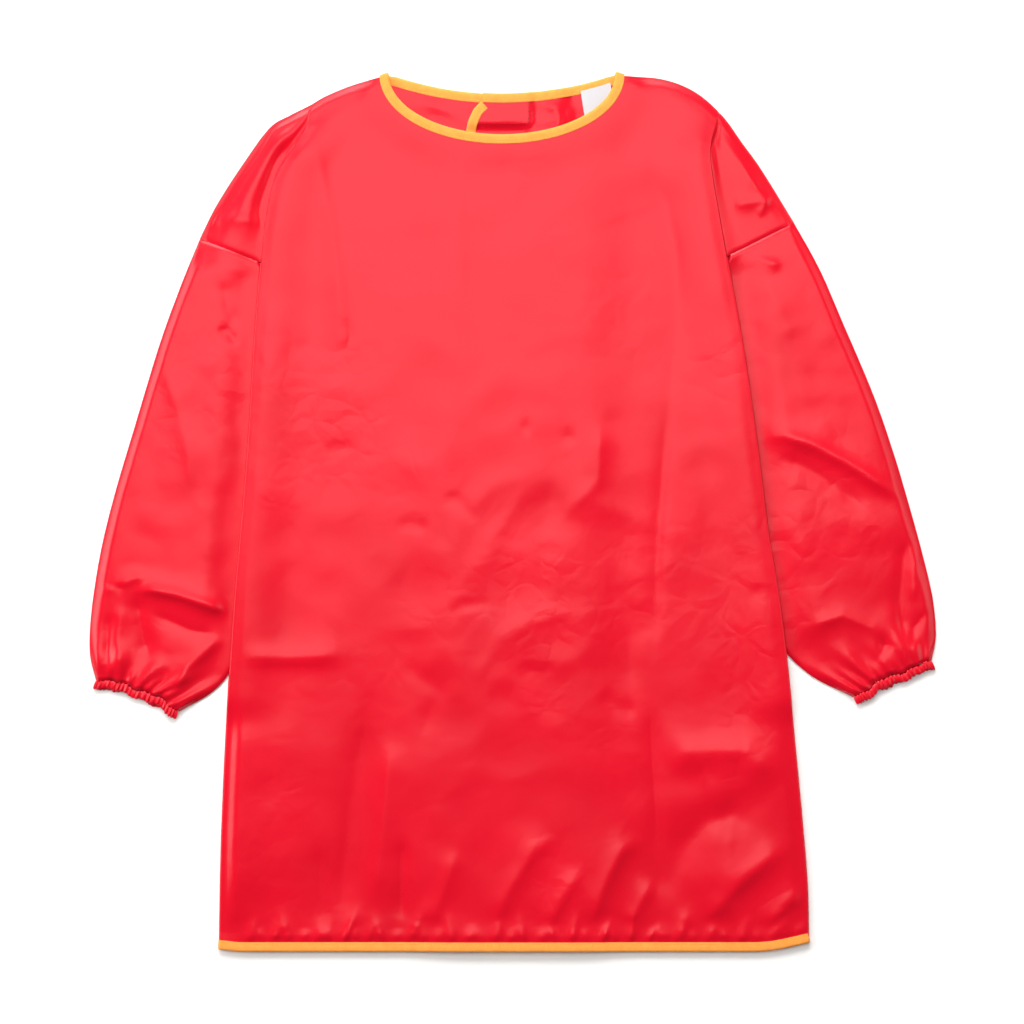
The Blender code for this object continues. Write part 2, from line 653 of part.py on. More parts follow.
def tube_facet(index, count, end_share):
    """Which layer a facet's corner is on, and how far across from the outer end it lies."""
    half = count // 2
    index = index % count
    if index in (0, half):
        return "end", float(index == half)
    step = index if index < half else count - index
    across = mix(end_share, 1 - end_share, (step - 1) / (half - 2))
    return ("under" if index < half else "upper"), across


def sleeve_height(side, ring, station, across, spot):
    """Height between the layers of a sleeve."""
    width = math.hypot(ring.inner_x - ring.outer_x, ring.inner_y - ring.outer_y)
    from_inner = (1 - across) * width
    from_outer = across * width
    height = mix(1.7, ring.height, ramp(from_inner, 10, 32))
    height = mix(2.0, height, ramp(from_outer, 0, 18))
    inside = ramp(min(from_inner - 8, from_outer), 0, 14)
    inside *= ramp(station, 0, 0.1) * ramp(station, 1, 0.85)
    height += fold_rise(SLEEVE_FOLDS[side], spot.x, spot.y) * inside
    seam = armhole_height(1 - across) - HALF_WALL
    height = mix(seam, height, ramp(station, 0, 0.1))
    wave = math.cos(2 * math.pi * (GATHERS * across + 0.35 * math.sin(9 * across + side)))
    gather = GATHER_HEIGHT * (wave + 0.4) * ramp(min(across, 1 - across), 0.0, 0.06)
    return mix(height, CUFF_GAP, ramp(station, 0.9, 1)) + gather * ramp(station, 0.74, 0.95)


def make_sleeve(side, finish):
    """A flat tube, gathered into its cuff."""
    def place(corner, station):
        index, count = corner
        ring = sleeve_ring(side, station)
        width = math.hypot(ring.inner_x - ring.outer_x, ring.inner_y - ring.outer_y)
        layer, across = tube_facet(index, count, 1.0 / width)
        spot, _ = ring_spot(ring, across)
        near = min(max(across, 1.0 / width), 1 - 1.0 / width)
        height = sleeve_height(side, ring, station, near, spot)
        share = {"under": 0.0, "end": 0.5, "upper": 1.0}[layer]
        return (*spot, HALF_WALL + height * share)

    mesh = bmesh.new()
    stations = [0.0, 0.04, 0.1] + evenly(0.18, 0.8, 8)
    coarse = add_patch(mesh, [(i, SLEEVE_FACETS) for i in range(SLEEVE_FACETS + 1)], stations, place)
    gathered = [0.85, 0.9, 0.95, 1.0]
    fine = add_patch(mesh, [(i, GATHER_FACETS) for i in range(GATHER_FACETS + 1)], gathered, place)
    bridge_rows(mesh, coarse, len(stations) - 1, fine, 0)
    return finish_cloth(mesh, ("sleeve_left", "sleeve_right")[side], WALL, finish)


def make_cuff(side, finish):
    """The ruched elastic casing at the end of a sleeve."""
    ring = sleeve_ring(side, 1.0)
    width = math.hypot(ring.inner_x - ring.outer_x, ring.inner_y - ring.outer_y)

    def place(index, along):
        layer, across = tube_facet(index, GATHER_FACETS, 1.2 / width)
        spot, away = ring_spot(ring, across)
        spot += away * (CUFF_SET + along * CUFF_WIDTH)
        ruche = CUFF_RUCHE * (index % 2) if layer == "upper" else 0.0
        share = {"under": 0.0, "end": 0.5, "upper": 1.0}[layer]
        return (*spot, CUFF_WALL / 2 + CUFF_GAP * share + ruche)

    mesh = bmesh.new()
    add_patch(mesh, list(range(GATHER_FACETS + 1)), [0.0, 1.0], place)
    return finish_cloth(mesh, ("cuff_left", "cuff_right")[side], CUFF_WALL, finish)


def make_neck_binding(finish):
    """One strip round the neckline: left back, left corner, front, right corner, right back."""
    stations = []
    for free, into in reversed(back_neck(LEFT, LEFT_EDGE_X)):
        stations.append((free, into, HALF_TAPE))
    stations += neck_roll(LEFT)
    for turn in front_neck_turns(NECK_COLUMNS):
        free, into = front_neck(turn)
        stations.append((free, into, neck_height(free.x)))
    stations += reversed(neck_roll(RIGHT))
    for free, into in back_neck(RIGHT, right_edge(RIGHT_NECK_Y)):
        over_left = right_over_left(free.x, EDGE_TOP_Y)
        stations.append((free, into, HALF_WALL + max(over_left, HALF_TAPE - HALF_WALL)))

    def place(station, share):
        free, into, height = station
        return (*(free + into * TAPE_WIDTH * share), height)

    mesh = bmesh.new()
    add_patch(mesh, stations, [0.0, 0.5, 1.0], place)
    return finish_cloth(mesh, "neck_binding", TAPE, finish)


def neck_roll(side):
    """The fold of the binding at a corner of the neckline, from the back layer up to the front."""
    corner, way = NECK_CORNER[side], SHOULDER_WAY[side]
    beyond = Vector((way.y, -way.x)) if side == LEFT else Vector((-way.y, way.x))
    top = neck_height(corner.x)
    middle = (top + HALF_TAPE) / 2
    radius = (top - HALF_TAPE) / 2
    stations = []
    for angle in evenly(0.0, math.pi, 6)[1:-1]:
        free = corner + beyond * radius * math.sin(angle)
        stations.append((free, way, middle - radius * math.cos(angle)))
    return stations


def make_hem_binding(finish):
    """One strip along the hem: left half of the back, round the front, right half of the back."""
    stations = [(x, HALF_TAPE) for x in evenly(LEFT_EDGE_X, side_seam(LEFT, HEM_Y), 6)]
    folded = [side_fold_point(LEFT, HEM_Y, turn) for turn in reversed(evenly(0.0, 1.0, 6))]
    stations += [(x, z) for x, _, z in folded]
    for share in evenly(0.0, 1.0, 3 * FRONT_COLUMNS)[1:-1]:
        x = mix(fold_start(LEFT, HEM_EDGE), fold_start(RIGHT, HEM_EDGE), share)
        stations.append((x, front_hem_height(x) + hem_pucker(x, HEM_EDGE)))
    folded = [side_fold_point(RIGHT, HEM_Y, turn) for turn in evenly(0.0, 1.0, 6)]
    stations += [(x, z) for x, _, z in folded]
    for x in evenly(side_seam(RIGHT, HEM_Y), 56.0, 5) + [48.0, 40.0, 32.0, 8.0, right_edge(HEM_Y)]:
        stations.append((x, HALF_WALL + max(right_over_left(x, HEM_EDGE), HALF_TAPE - HALF_WALL)))

    def place(station, y):
        x, z = station
        return x, y, z

    mesh = bmesh.new()
    add_patch(mesh, stations, [HEM_Y, HEM_Y + TAPE_WIDTH], place)
    return finish_cloth(mesh, "hem_binding", TAPE, finish)


def make_back_edge_binding(side, finish):
    """The tape on a centre edge of the back, between the neck binding and the hem binding."""
    rows = [HEM_EDGE, HEM_EDGE + 8, *BODY_ROWS, *EDGE_ROWS, EDGE_TOP_Y]

    def place(share, y):
        if side == LEFT:
            return LEFT_EDGE_X - TAPE_WIDTH * share, y, HALF_TAPE
        x = right_edge(y) + TAPE_WIDTH * share
        return x, y, back_height(RIGHT, right_edge(y) + TAPE_REACH, y)

    mesh = bmesh.new()
    add_patch(mesh, [0.0, 1.0], rows, place)
    return finish_cloth(mesh, "back_edge_binding_" + ("left", "right")[side], TAPE, finish)


def make_rectangle(name, centre, size, thickness, bottom, finish):
    """A flat rectangle of tape whose lower face is at a height."""
    def place(across, along):
        return centre[0] + size[0] * across, centre[1] + size[1] * along, bottom + thickness / 2

    mesh = bmesh.new()
    add_patch(mesh, [-0.5, 0.5], [-0.5, 0.5], place)
    return finish_cloth(mesh, name, thickness, finish)


def make_smock():
    bpy.context.scene.collection.children.link(garment)
    nylon = material("red_coated_nylon", (0.807, 0.018, 0.030), 0.45)
    tape = material("orange_bias_tape", (1.0, 0.342, 0.040), 0.7)
    hook_and_loop = material("red_hook_and_loop", (0.604, 0.012, 0.022), 0.9)
    label = material("white_label_tape", (0.871, 0.871, 0.855), 0.8)
    make_front(nylon)
    for side in (LEFT, RIGHT):
        make_back(side, nylon)
        make_sleeve(side, nylon)
        make_cuff(side, nylon)
        make_back_edge_binding(side, tape)
    make_neck_binding(tape)
    make_hem_binding(tape)
    patch = (PATCH_LENGTH, PATCH_WIDTH)
    on_left = HALF_TAPE + HALF_WALL + SEAM_GAP
    make_rectangle("closure_hook_patch", (PATCH_X, PATCH_Y), patch, PATCH_THICKNESS, on_left, hook_and_loop)
    on_hooks = on_left + PATCH_THICKNESS + SEAM_GAP
    make_rectangle("closure_loop_patch", (PATCH_X, PATCH_Y), patch, PATCH_THICKNESS, on_hooks, hook_and_loop)
    label_top = back_neck_curve(LABEL_X - LABEL_WIDTH / 2)[0].y - TAPE_REACH - LABEL_DROP
    label_size = (LABEL_WIDTH, LABEL_LENGTH)
    label_centre = (LABEL_X, label_top - LABEL_LENGTH / 2)
    make_rectangle("neck_label", label_centre, label_size, WALL, 2 * HALF_TAPE, label)


for leftover in list(bpy.data.objects):
    bpy.data.objects.remove(leftover)
make_smock()
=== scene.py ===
"""A child's school smock of red coated nylon, bound in orange bias tape and laid flat on a pale table.

Heights and places are in millimetres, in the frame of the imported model: +Y to the neckline, +Z up out
of the front. "Left" and "right" are as seen from above.
"""
import math

import bpy
import numpy as np
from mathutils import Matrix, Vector, noise


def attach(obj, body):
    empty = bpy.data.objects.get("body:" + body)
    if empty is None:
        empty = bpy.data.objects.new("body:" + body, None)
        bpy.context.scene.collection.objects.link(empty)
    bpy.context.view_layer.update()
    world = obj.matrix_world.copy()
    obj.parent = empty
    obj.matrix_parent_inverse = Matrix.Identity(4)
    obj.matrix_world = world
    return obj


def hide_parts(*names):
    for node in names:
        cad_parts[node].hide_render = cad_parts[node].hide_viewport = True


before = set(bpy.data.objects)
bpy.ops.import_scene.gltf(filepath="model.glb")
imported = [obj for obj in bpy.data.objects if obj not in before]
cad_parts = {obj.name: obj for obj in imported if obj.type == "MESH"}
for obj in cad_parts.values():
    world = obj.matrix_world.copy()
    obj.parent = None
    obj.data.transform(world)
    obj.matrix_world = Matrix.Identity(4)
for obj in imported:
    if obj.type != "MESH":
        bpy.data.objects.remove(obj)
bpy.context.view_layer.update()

# ------------------------------------------------------------------------------------------------
# The table and the light. A white laminate table under a broad soft light that hangs overhead, a
# little towards the neckline, with three more that stand round it, pale walls beyond them, and a
# camera that looks straight down.
MM = 0.001
VIEW_WIDTH = 757.8  # of the table, across the square picture
CAMERA_HEIGHT = 2400.0
VIEW_CENTRE = (-0.7, -0.7)
# The soft lights, all turned to the table's middle: place, width, height and power in watts
SOFTBOXES = {
    "softbox_overhead": ((-120.0, 580.0, 2600.0), 2100.0, 1340.0, 23.5),
    "softbox_beyond_neckline": ((-300.0, 1900.0, 1400.0), 2400.0, 1200.0, 76.0),
    "softbox_left": ((-2300.0, 500.0, 1300.0), 2400.0, 1200.0, 46.0),
    "softbox_right": ((2300.0, 300.0, 1500.0), 2400.0, 1200.0, 17.0),
}


def linear(colour):
    """An sRGB hex colour in linear light."""
    channels = [int(colour[place:place + 2], 16) / 255 for place in (1, 3, 5)]
    return [c / 12.92 if c <= 0.04045 else ((c + 0.055) / 1.055) ** 2.4 for c in channels] + [1.0]


def add_node(finish, kind, settings=None, links=None):
    """Adds a node to a material, with its settings and the sockets that feed it."""
    node = finish.node_tree.nodes.new(kind)
    for name, value in (settings or {}).items():
        if isinstance(name, int) or name in node.inputs:
            node.inputs[name].default_value = value
        else:
            setattr(node, name, value)
    for name, source in (links or {}).items():
        finish.node_tree.links.new(source, node.inputs[name])
    return node


def new_finish(name):
    """A material with only its output and its shader, which is returned too."""
    finish = bpy.data.materials.new(name)
    finish.use_nodes = True
    return finish, finish.node_tree.nodes["Principled BSDF"]


bpy.ops.object.select_all(action="DESELECT")
bpy.ops.mesh.primitive_plane_add(size=9.0)
table = bpy.context.object
table.name = "table_top"
for corner in table.data.vertices:
    corner.co.z = -0.05 * MM
laminate, shader = new_finish("matt_white_laminate")
shader.inputs["Base Color"].default_value = linear("#FAFAFA")
shader.inputs["Roughness"].default_value = 0.85
shader.inputs["Specular IOR Level"].default_value = 0.15
table.data.materials.append(laminate)

walls = bpy.data.worlds.new("pale_studio_walls")
walls.use_nodes = True
walls.node_tree.nodes["Background"].inputs["Color"].default_value = linear("#F4F6FA")
walls.node_tree.nodes["Background"].inputs["Strength"].default_value = 0.09
bpy.context.scene.world = walls

for name, (place, width, height, power) in SOFTBOXES.items():
    softbox = bpy.data.lights.new(name, "AREA")
    softbox.shape = "ELLIPSE"
    softbox.size, softbox.size_y = width * MM, height * MM
    softbox.energy = power
    softbox.color = linear("#FFFDFA")[:3]
    standing = bpy.data.objects.new(name, softbox)
    standing.location = Vector(place) * MM
    standing.rotation_euler = Vector(place).to_track_quat("Z", "Y").to_euler()
    standing.visible_camera = False
    bpy.context.collection.objects.link(standing)

camera = bpy.data.cameras.new("overhead_camera")
camera.sensor_fit = "HORIZONTAL"
camera.angle = 2 * math.atan(VIEW_WIDTH / 2 / CAMERA_HEIGHT)
camera.clip_start = 0.05
camera.clip_end = 50.0
overhead = bpy.data.objects.new("overhead_camera", camera)
overhead.location = (VIEW_CENTRE[0] * MM, VIEW_CENTRE[1] * MM, CAMERA_HEIGHT * MM)
bpy.context.collection.objects.link(overhead)
bpy.context.scene.camera = overhead
bpy.context.scene.view_settings.view_transform = "Standard"

# ------------------------------------------------------------------------------------------------
# The front: one panel of coated nylon, cut in one with the dropped shoulders. It wraps round the
# two side folds to the side seams underneath, and its neck and hem end inside the bias tape.
LEFT, RIGHT = 0, 1
OUTWARD = (-1.0, 1.0)
CLOTH = 0.35  # drawn thickness of the nylon
LAID = 0.3  # how much lower the thin cloth lies than the middle of the thick wall it stands for
TAPE_WIDTH = 7.0
CLOTH_IN_TAPE = 2.5  # from the tape's fold to the cloth's edge inside it
HEM_Y = -325.6
HEM_EDGE = -318.3
FOLD_RADIUS = 1.45
SEAM_TUCK = 6.0
FRONT_REST = 3.6
RIDGE_TOP_Y = 299.0
NECK_X, NECK_Y = -8.1, 322.9
NECK_HALF_WIDTH = 83.6
FRONT_NECK_DEPTH = 44.7
UNDERARM = ((-187.0, 183.5), (159.3, 188.0))
SHOULDER_TIP = ((-231.6, 201.3), (207.9, 213.1))
NECK_CORNER = (Vector((-91.7, 322.6)), Vector((75.5, 323.2)))
SHOULDER_WAY = (Vector((-0.954, -0.300)), Vector((0.970, -0.243)))
SIDES = (
    ((-325.6, -217.8), (-280.0, -217.2), (-236.0, -216.1), (-166.0, -213.0), (-110.0, -209.5),
     (-57.0, -205.8), (-19.0, -202.3), (53.0, -196.3), (122.0, -192.2), (185.0, -187.2),
     (226.0, -182.2), (248.0, -176.0), (268.0, -164.0), (285.0, -154.5), (299.0, -152.0)),
    ((-325.6, 219.4), (-280.0, 218.6), (-236.0, 215.3), (-166.0, 208.7), (-110.0, 203.2),
     (-57.0, 196.4), (-19.0, 190.0), (53.0, 181.0), (122.0, 170.9), (185.0, 159.8),
     (226.0, 152.6), (248.0, 149.0), (268.0, 147.5), (285.0, 151.5), (299.0, 155.5)),
)
SHOULDERS = (
    ((-231.6, 201.3), (-219.8, 225.0), (-200.0, 256.0), (-179.8, 283.4), (-165.0, 292.5),
     (-150.0, 300.0), (-139.0, 306.4), (-120.0, 314.3), (-98.7, 320.4)),
    ((82.6, 321.4), (111.7, 318.9), (135.4, 309.3), (155.4, 291.6), (170.0, 271.5),
     (182.8, 253.8), (207.9, 213.1)),
)
# Creases: height, how wide they are to the left and to the right of their path, and the path.
# Those with a height below zero are troughs.
FRONT_CREASES = (
    (0.4, 4.0, 4.0, ((-37.5, 268.5), (-38.5, 208.0), (-37.5, 143.5))),
    (1.3, 7.0, 14.0, ((-146.5, 277.5), (-137.5, 230.0), (-130.0, 183.5), (-124.5, 110.5))),
    (-1.6, 9.0, 40.0, ((92.0, 262.0), (112.0, 228.0), (120.0, 190.0), (120.5, 136.0), (114.5, 74.5))),
    (-1.3, 3.0, 9.0, ((117.5, 86.0), (114.0, 53.5), (108.0, -19.0), (105.0, -103.0))),
    (-1.8, 3.5, 10.0, ((106.5, -140.0), (105.0, -173.0), (106.5, -225.0), (109.0, -267.0))),
    (2.2, 10.0, 5.0, ((-202.0, -108.0), (-168.5, -109.0), (-124.5, -107.5))),
    (3.0, 46.0, 14.0, ((-203.5, -132.5), (-207.0, -206.5), (-209.5, -306.5))),
    (-2.4, 16.0, 10.0, ((-107.5, -143.5), (-111.5, -173.0), (-120.5, -236.0), (-129.5, -306.5))),
    (2.0, 22.0, 9.0, ((-89.5, -162.0), (-96.0, -228.5), (-104.5, -299.0))),
    (-1.6, 3.5, 9.0, ((-80.5, -240.0), (-82.0, -306.5))),
    (-1.1, 3.0, 8.0, ((-144.5, -247.0), (-140.0, -273.0), (-135.5, -308.5))),
    (3.6, 16.0, 30.0, ((115.5, -194.0), (131.0, -178.0), (172.0, -177.5), (200.0, -200.0))),
    (2.6, 36.0, 40.0, ((140.0, -190.0), (150.0, -230.0), (156.0, -290.0))),
    (-3.0, 22.0, 20.0, ((100.0, -290.0), (123.5, -250.0), (142.0, -230.0), (160.5, -223.0), (180.0, -236.0))),
    (3.4, 18.0, 10.0, ((140.0, -306.0), (168.0, -274.0), (190.0, -256.0), (206.0, -250.0))),
    (2.4, 10.0, 6.0, ((187.0, -310.0), (202.0, -289.5), (217.0, -282.0))),
    (2.6, 14.0, 8.0, ((57.0, -307.0), (69.0, -273.0), (80.5, -251.0), (95.5, -243.5))),
    (1.8, 10.0, 7.0, ((85.0, -307.0), (97.0, -285.0), (104.5, -273.0))),
    (2.0, 12.0, 8.0, ((-15.5, -308.5), (-2.0, -279.0), (17.0, -249.5), (32.0, -240.5))),
    (1.8, 9.0, 7.0, ((24.5, -311.5), (36.5, -285.0), (51.0, -264.0))),
    (1.6, 10.0, 8.0, ((-63.0, -310.0), (-49.5, -276.0), (-40.5, -248.0))),
    (-0.6, 2.5, 2.5, ((-126.0, 146.5), (-119.0, 129.5), (-126.5, 114.5), (-119.0, 101.5))),
    (-0.4, 2.0, 3.0, ((-160.5, 122.0), (-146.0, 123.5), (-129.5, 123.0))),
    (-0.5, 2.0, 3.0, ((-141.5, 45.0), (-129.5, 47.5), (-117.0, 46.5))),
    (-0.8, 3.0, 2.5, ((-51.0, -76.0), (-37.5, -70.5), (-24.5, -68.0), (-12.0, -69.5))),
    (-0.8, 2.0, 3.0, ((-85.0, -11.0), (-74.5, -9.0), (-61.5, -12.5))),
    (-0.6, 2.5, 3.0, ((5.0, -116.0), (20.0, -118.5), (32.0, -116.0))),
    (-0.9, 3.0, 3.0, ((8.0, 67.5), (11.0, 58.5))),
    (-0.8, 4.0, 4.0, ((39.0, 60.0), (43.5, 49.5))),
    (-0.7, 3.0, 4.0, ((-54.0, 6.5), (-42.0, 9.5), (-33.5, 0.5), (-26.0, -8.0))),
    (-0.9, 6.0, 8.0, ((64.5, -132.5), (76.0, -144.5), (94.0, -148.5))),
    (-0.7, 3.0, 4.0, ((174.0, -58.5), (190.0, -61.5), (202.0, -58.5))),
    (0.7, 12.0, 10.0, ((-32.0, -132.5), (-9.5, -95.5), (5.0, -84.5), (17.0, -110.5))),
    (-1.0, 10.0, 16.0, ((32.0, 30.5), (20.0, -21.5), (23.5, -73.5))),
    (-1.3, 12.0, 20.0, ((64.5, -36.5), (86.5, -80.5), (85.0, -140.0))),
    (1.2, 12.0, 9.0, ((64.5, 67.5), (63.0, 23.0), (35.0, -6.5))),
    (-1.0, 10.0, 12.0, ((-83.5, -110.5), (-54.0, -132.5), (-69.0, -169.5))),
)
# The puckers along the hem: place, lean, length, height and width.
HEM_PUCKERS = (
    (-195, 5, 18, 1.3, 3.2), (-186, -4, 9, 1.0, 2.4), (-177, 6, 14, 1.5, 3.0), (-165, -6, 21, 1.4, 3.6), (-155, 3, 8, 1.1, 2.4),
    (-145, 7, 15, 1.6, 3.2), (-135, -3, 10, 1.0, 2.6), (-125, 8, 22, 1.7, 3.8), (-116, -2, 9, 1.2, 2.4), (-107, 4, 13, 1.3, 3.0),
    (-96, -7, 18, 1.6, 3.4), (-86, 2, 8, 1.1, 2.4), (-77, 9, 24, 1.5, 3.8), (-66, -4, 12, 1.4, 2.8), (-56, 5, 9, 1.1, 2.6),
    (-45, -3, 19, 1.6, 3.4), (-33, 6, 11, 1.3, 2.8), (-24, -6, 8, 1.1, 2.4), (-13, 3, 16, 1.7, 3.2), (-2, 8, 10, 1.2, 2.6),
    (8, -4, 20, 1.5, 3.6), (21, 5, 9, 1.2, 2.6), (31, -7, 13, 1.5, 3.0), (43, 4, 22, 1.6, 3.8), (54, -3, 9, 1.1, 2.4),
    (66, 7, 15, 1.7, 3.2), (76, -5, 10, 1.2, 2.6), (87, 2, 18, 1.5, 3.4), (100, 8, 9, 1.3, 2.6), (110, -4, 12, 1.2, 2.8),
    (122, 6, 21, 1.7, 3.8), (133, -2, 8, 1.1, 2.4), (145, 5, 14, 1.5, 3.0), (157, -6, 10, 1.3, 2.6), (169, 4, 17, 1.6, 3.4),
    (181, -3, 9, 1.1, 2.4), (192, 7, 13, 1.5, 2.8), (203, -5, 19, 1.4, 3.2), (212, 3, 8, 1.0, 2.2),
)
SHOULDER_CREASES = (
    ((-2.0, 8.0, 14.0, ((-163.5, 280.5), (-176.0, 257.0), (-182.0, 234.5), (-187.0, 205.0))),
     (1.3, 7.0, 6.0, ((-227.0, 211.0), (-208.0, 216.0), (-185.5, 214.0)))),
    ((1.6, 22.0, 9.0, ((162.0, 284.0), (168.0, 262.0), (176.0, 244.0), (192.0, 232.0))),
     (1.4, 7.0, 6.0, ((162.0, 225.5), (180.0, 228.5), (196.0, 233.0))),
     (-1.2, 2.5, 2.5, ((142.0, 283.5), (146.0, 265.5))),
     (-1.2, 2.5, 2.5, ((154.5, 292.5), (146.5, 265.5))),
     (1.1, 3.0, 3.0, ((191.0, 235.5), (185.5, 225.5), (181.5, 217.5))),
     (-0.7, 2.5, 2.5, ((166.5, 273.0), (172.5, 262.5)))),
)


def ramp(value, start, end):
    """Rises smoothly from 0 at start to 1 at end, where start may be the larger."""
    share = np.clip((value - start) / (end - start), 0.0, 1.0)
    return share * share * (3 - 2 * share)


def mix(first, second, share):
    return first + (second - first) * share


def smooth_curve(knots):
    """The smooth curve through (position, value) knots, as a function of the position."""
    at, values = np.array(knots, dtype=float).T
    slopes = np.empty_like(values)
    slopes[1:-1] = (values[2:] - values[:-2]) / (at[2:] - at[:-2])
    slopes[0] = (values[1] - values[0]) / (at[1] - at[0])
    slopes[-1] = (values[-1] - values[-2]) / (at[-1] - at[-2])

    def read(position):
        index = np.clip(np.searchsorted(at, position, side="right") - 1, 0, len(at) - 2)
        span = at[index + 1] - at[index]
        t = np.clip((position - at[index]) / span, 0.0, 1.0)
        start = (2 * t**3 - 3 * t**2 + 1) * values[index] + (t**3 - 2 * t**2 + t) * span * slopes[index]
        end = (3 * t**2 - 2 * t**3) * values[index + 1] + (t**3 - t**2) * span * slopes[index + 1]
        return start + end

    return read


side_fold = [smooth_curve(knots) for knots in SIDES]
shoulder_curve = [smooth_curve(knots) for knots in SHOULDERS]


def fold_start(side, y):
    """Where the flat of the front ends and its side fold begins."""
    return side_fold[side](y) - OUTWARD[side] * (0.5 + FOLD_RADIUS)


def side_seam(side, y):
    return fold_start(side, y) - OUTWARD[side] * (SEAM_TUCK + 0.3)


def seam_height(y):
    """Height of the side seam, which the sleeve underneath lifts from underarm to cuff."""
    return 0.5 + 3.0 * ramp(y, 184, 171) * ramp(y, -160, -136) + 0.5 * ramp(y, HEM_EDGE + 8, HEM_EDGE)


def side_height(y):
    """Height of the front along its two side folds."""
    lifted = ramp(y, 294, 258) * ramp(y, -160, -136)
    return 0.5 + 2 * FOLD_RADIUS + 3.0 * lifted + 0.5 * ramp(y, HEM_EDGE + 8, HEM_EDGE)


def shoulder_line(x):
    return np.where(x < NECK_X, shoulder_curve[LEFT](x), shoulder_curve[RIGHT](x))


def shoulder_margin(x, y):
    """How far a point lies inside the shoulder line."""
    slope = shoulder_line(x + 0.5) - shoulder_line(x - 0.5)
    return (shoulder_line(x) - y) / np.sqrt(1 + slope * slope)


def from_neck_corner(x):
    return np.where(x < NECK_X, SHOULDERS[LEFT][-1][0] - x, x - SHOULDERS[RIGHT][0][0])


def shoulder_seam_height(x):
    return 1.15 + 1.8 * ramp(from_neck_corner(x), 20, 0)


def neck_margin(x, y):
    """About how far a point lies from the neck binding's lower edge."""
    across = (x - NECK_X) / (NECK_HALF_WIDTH + 7.3)
    down = (y - NECK_Y) / (FRONT_NECK_DEPTH + 7.3)
    return (np.hypot(across, down) - 1) * (FRONT_NECK_DEPTH + 7.3)


def neck_height(x):
    return 6.0 - ((x - NECK_X) / NECK_HALF_WIDTH) ** 2


def over_opening(x):
    """1 where the bound edges of the back lie under the front."""
    return ramp(abs(x - 3.0), 88, 44)


def hem_height(x):
    return 1.0 + 2 * FOLD_RADIUS + 1.9 * over_opening(x)


def hem_rise(x):
    """How far the hem curves up towards the side folds."""
    return 1.6 * ramp(x, -200, -219) + 8.0 * ramp(x, 172, 232) ** 1.5


def above_hem(x, y):
    return y - HEM_EDGE - hem_rise(x)


def hem_pucker(x, y):
    """The small uneven puckers that the stitches of the hem binding draw up."""
    above = above_hem(x, y)
    rise = np.zeros_like(x)
    for place, lean, length, height, width in HEM_PUCKERS:
        beside = x - place - lean * np.clip(above, 0, 40) / 20
        spread = width * (0.8 + 0.6 * np.clip(above, 0, 30) / length)
        rise += 1.35 * height * np.exp(-1.2 * np.abs(beside / spread)) * ramp(above, length * 1.4, length * 0.2)
    return rise * (0.15 + 0.85 * ramp(above, -1, 5))


def crease_rise(creases, x, y):
    """What a table of creases adds to the height at each point."""
    rise = np.zeros_like(x)
    for height, left_width, right_width, path in creases:
        path = np.array(path, dtype=float)
        steps = np.hypot(*np.diff(path, axis=0).T)
        nearest = np.full_like(x, 1e9)
        place = np.zeros_like(x)
        beside = np.zeros_like(x)
        run = 0.0
        for start, end, step in zip(path, path[1:], steps):
            way = (end - start) / step
            along = (x - start[0]) * way[0] + (y - start[1]) * way[1]
            across = (x - start[0]) * way[1] - (y - start[1]) * way[0]
            foot = np.clip(along, 0, step)
            away = np.hypot(along - foot, across)
            closer = away < nearest
            nearest = np.where(closer, away, nearest)
            place = np.where(closer, run + foot, place)
            beside = np.where(closer, across, beside)
            run += step
        width = np.where(beside > 0, right_width, left_width)
        fade = 0.12 + 0.88 * ramp(place, 0, run * 0.25) * ramp(place, run, run * 0.75)
        rise += height * fade * np.exp(-1.25 * (np.hypot(nearest / width, 0.12) - 0.12))
    return rise


def crumple(x, y, size, offset):
    """Soft uneven crumpling, about 1 high and with humps of a size."""
    spots = np.stack([x.ravel() / size + offset, y.ravel() / size - offset], axis=1)
    heights = [noise.noise((spot[0], spot[1], offset)) for spot in spots]
    return np.array(heights).reshape(x.shape)


def creasing(x, y, size, offset):
    """Crumpling in flat facets between sharp ridges, as in nylon that was folded small."""
    return 0.4 - np.sqrt(crumple(x, y, size, offset) ** 2 + 0.0009)


def no_lower(height, least):
    """Keeps a height above a least one, with a soft change where it would go below."""
    return least + np.logaddexp(0, (height - least) * 3.0) / 3.0


def front_height(x, y):
    """Height of the front over the chest and skirt."""
    from_side = np.minimum(x - fold_start(LEFT, y), fold_start(RIGHT, y) - x)
    height = mix(FRONT_REST + 1.5 * over_opening(x), side_height(y), ramp(from_side, 45.0, 0))
    swell = ramp(from_side, 0, 9) * ramp(from_side, 40, 12) * ramp(above_hem(x, y), 4, 26)
    height += 0.8 * swell * ramp(shoulder_margin(x, y), 0, 30)
    fading = ramp(from_side, 0, 12) * ramp(above_hem(x, y), 0, 20) * ramp(neck_margin(x, y), 0, 15)
    fading *= ramp(shoulder_margin(x, y), 0, 15)
    centre = np.exp(-(((x - 10) / 110) ** 2) - ((y + 60) / 130) ** 2)
    loose = 0.5 * crumple(x, y, 60, 3.1) + 0.3 * crumple(x, y, 26, 8.3) + 1.7 * centre * creasing(x, y, 40, 4.4)
    height += (crease_rise(FRONT_CREASES, x, y) + loose) * fading
    height = no_lower(height, 2.2 + 1.9 * over_opening(x))
    height = mix(height, neck_height(x), ramp(neck_margin(x, y), 25, 0))
    hem = ramp(above_hem(x, y), 25, 0) * ramp(from_side, 0, 20)
    height = mix(height, hem_height(x), hem) + hem_pucker(x, y)
    return front_shoulder_height(height, x, y)


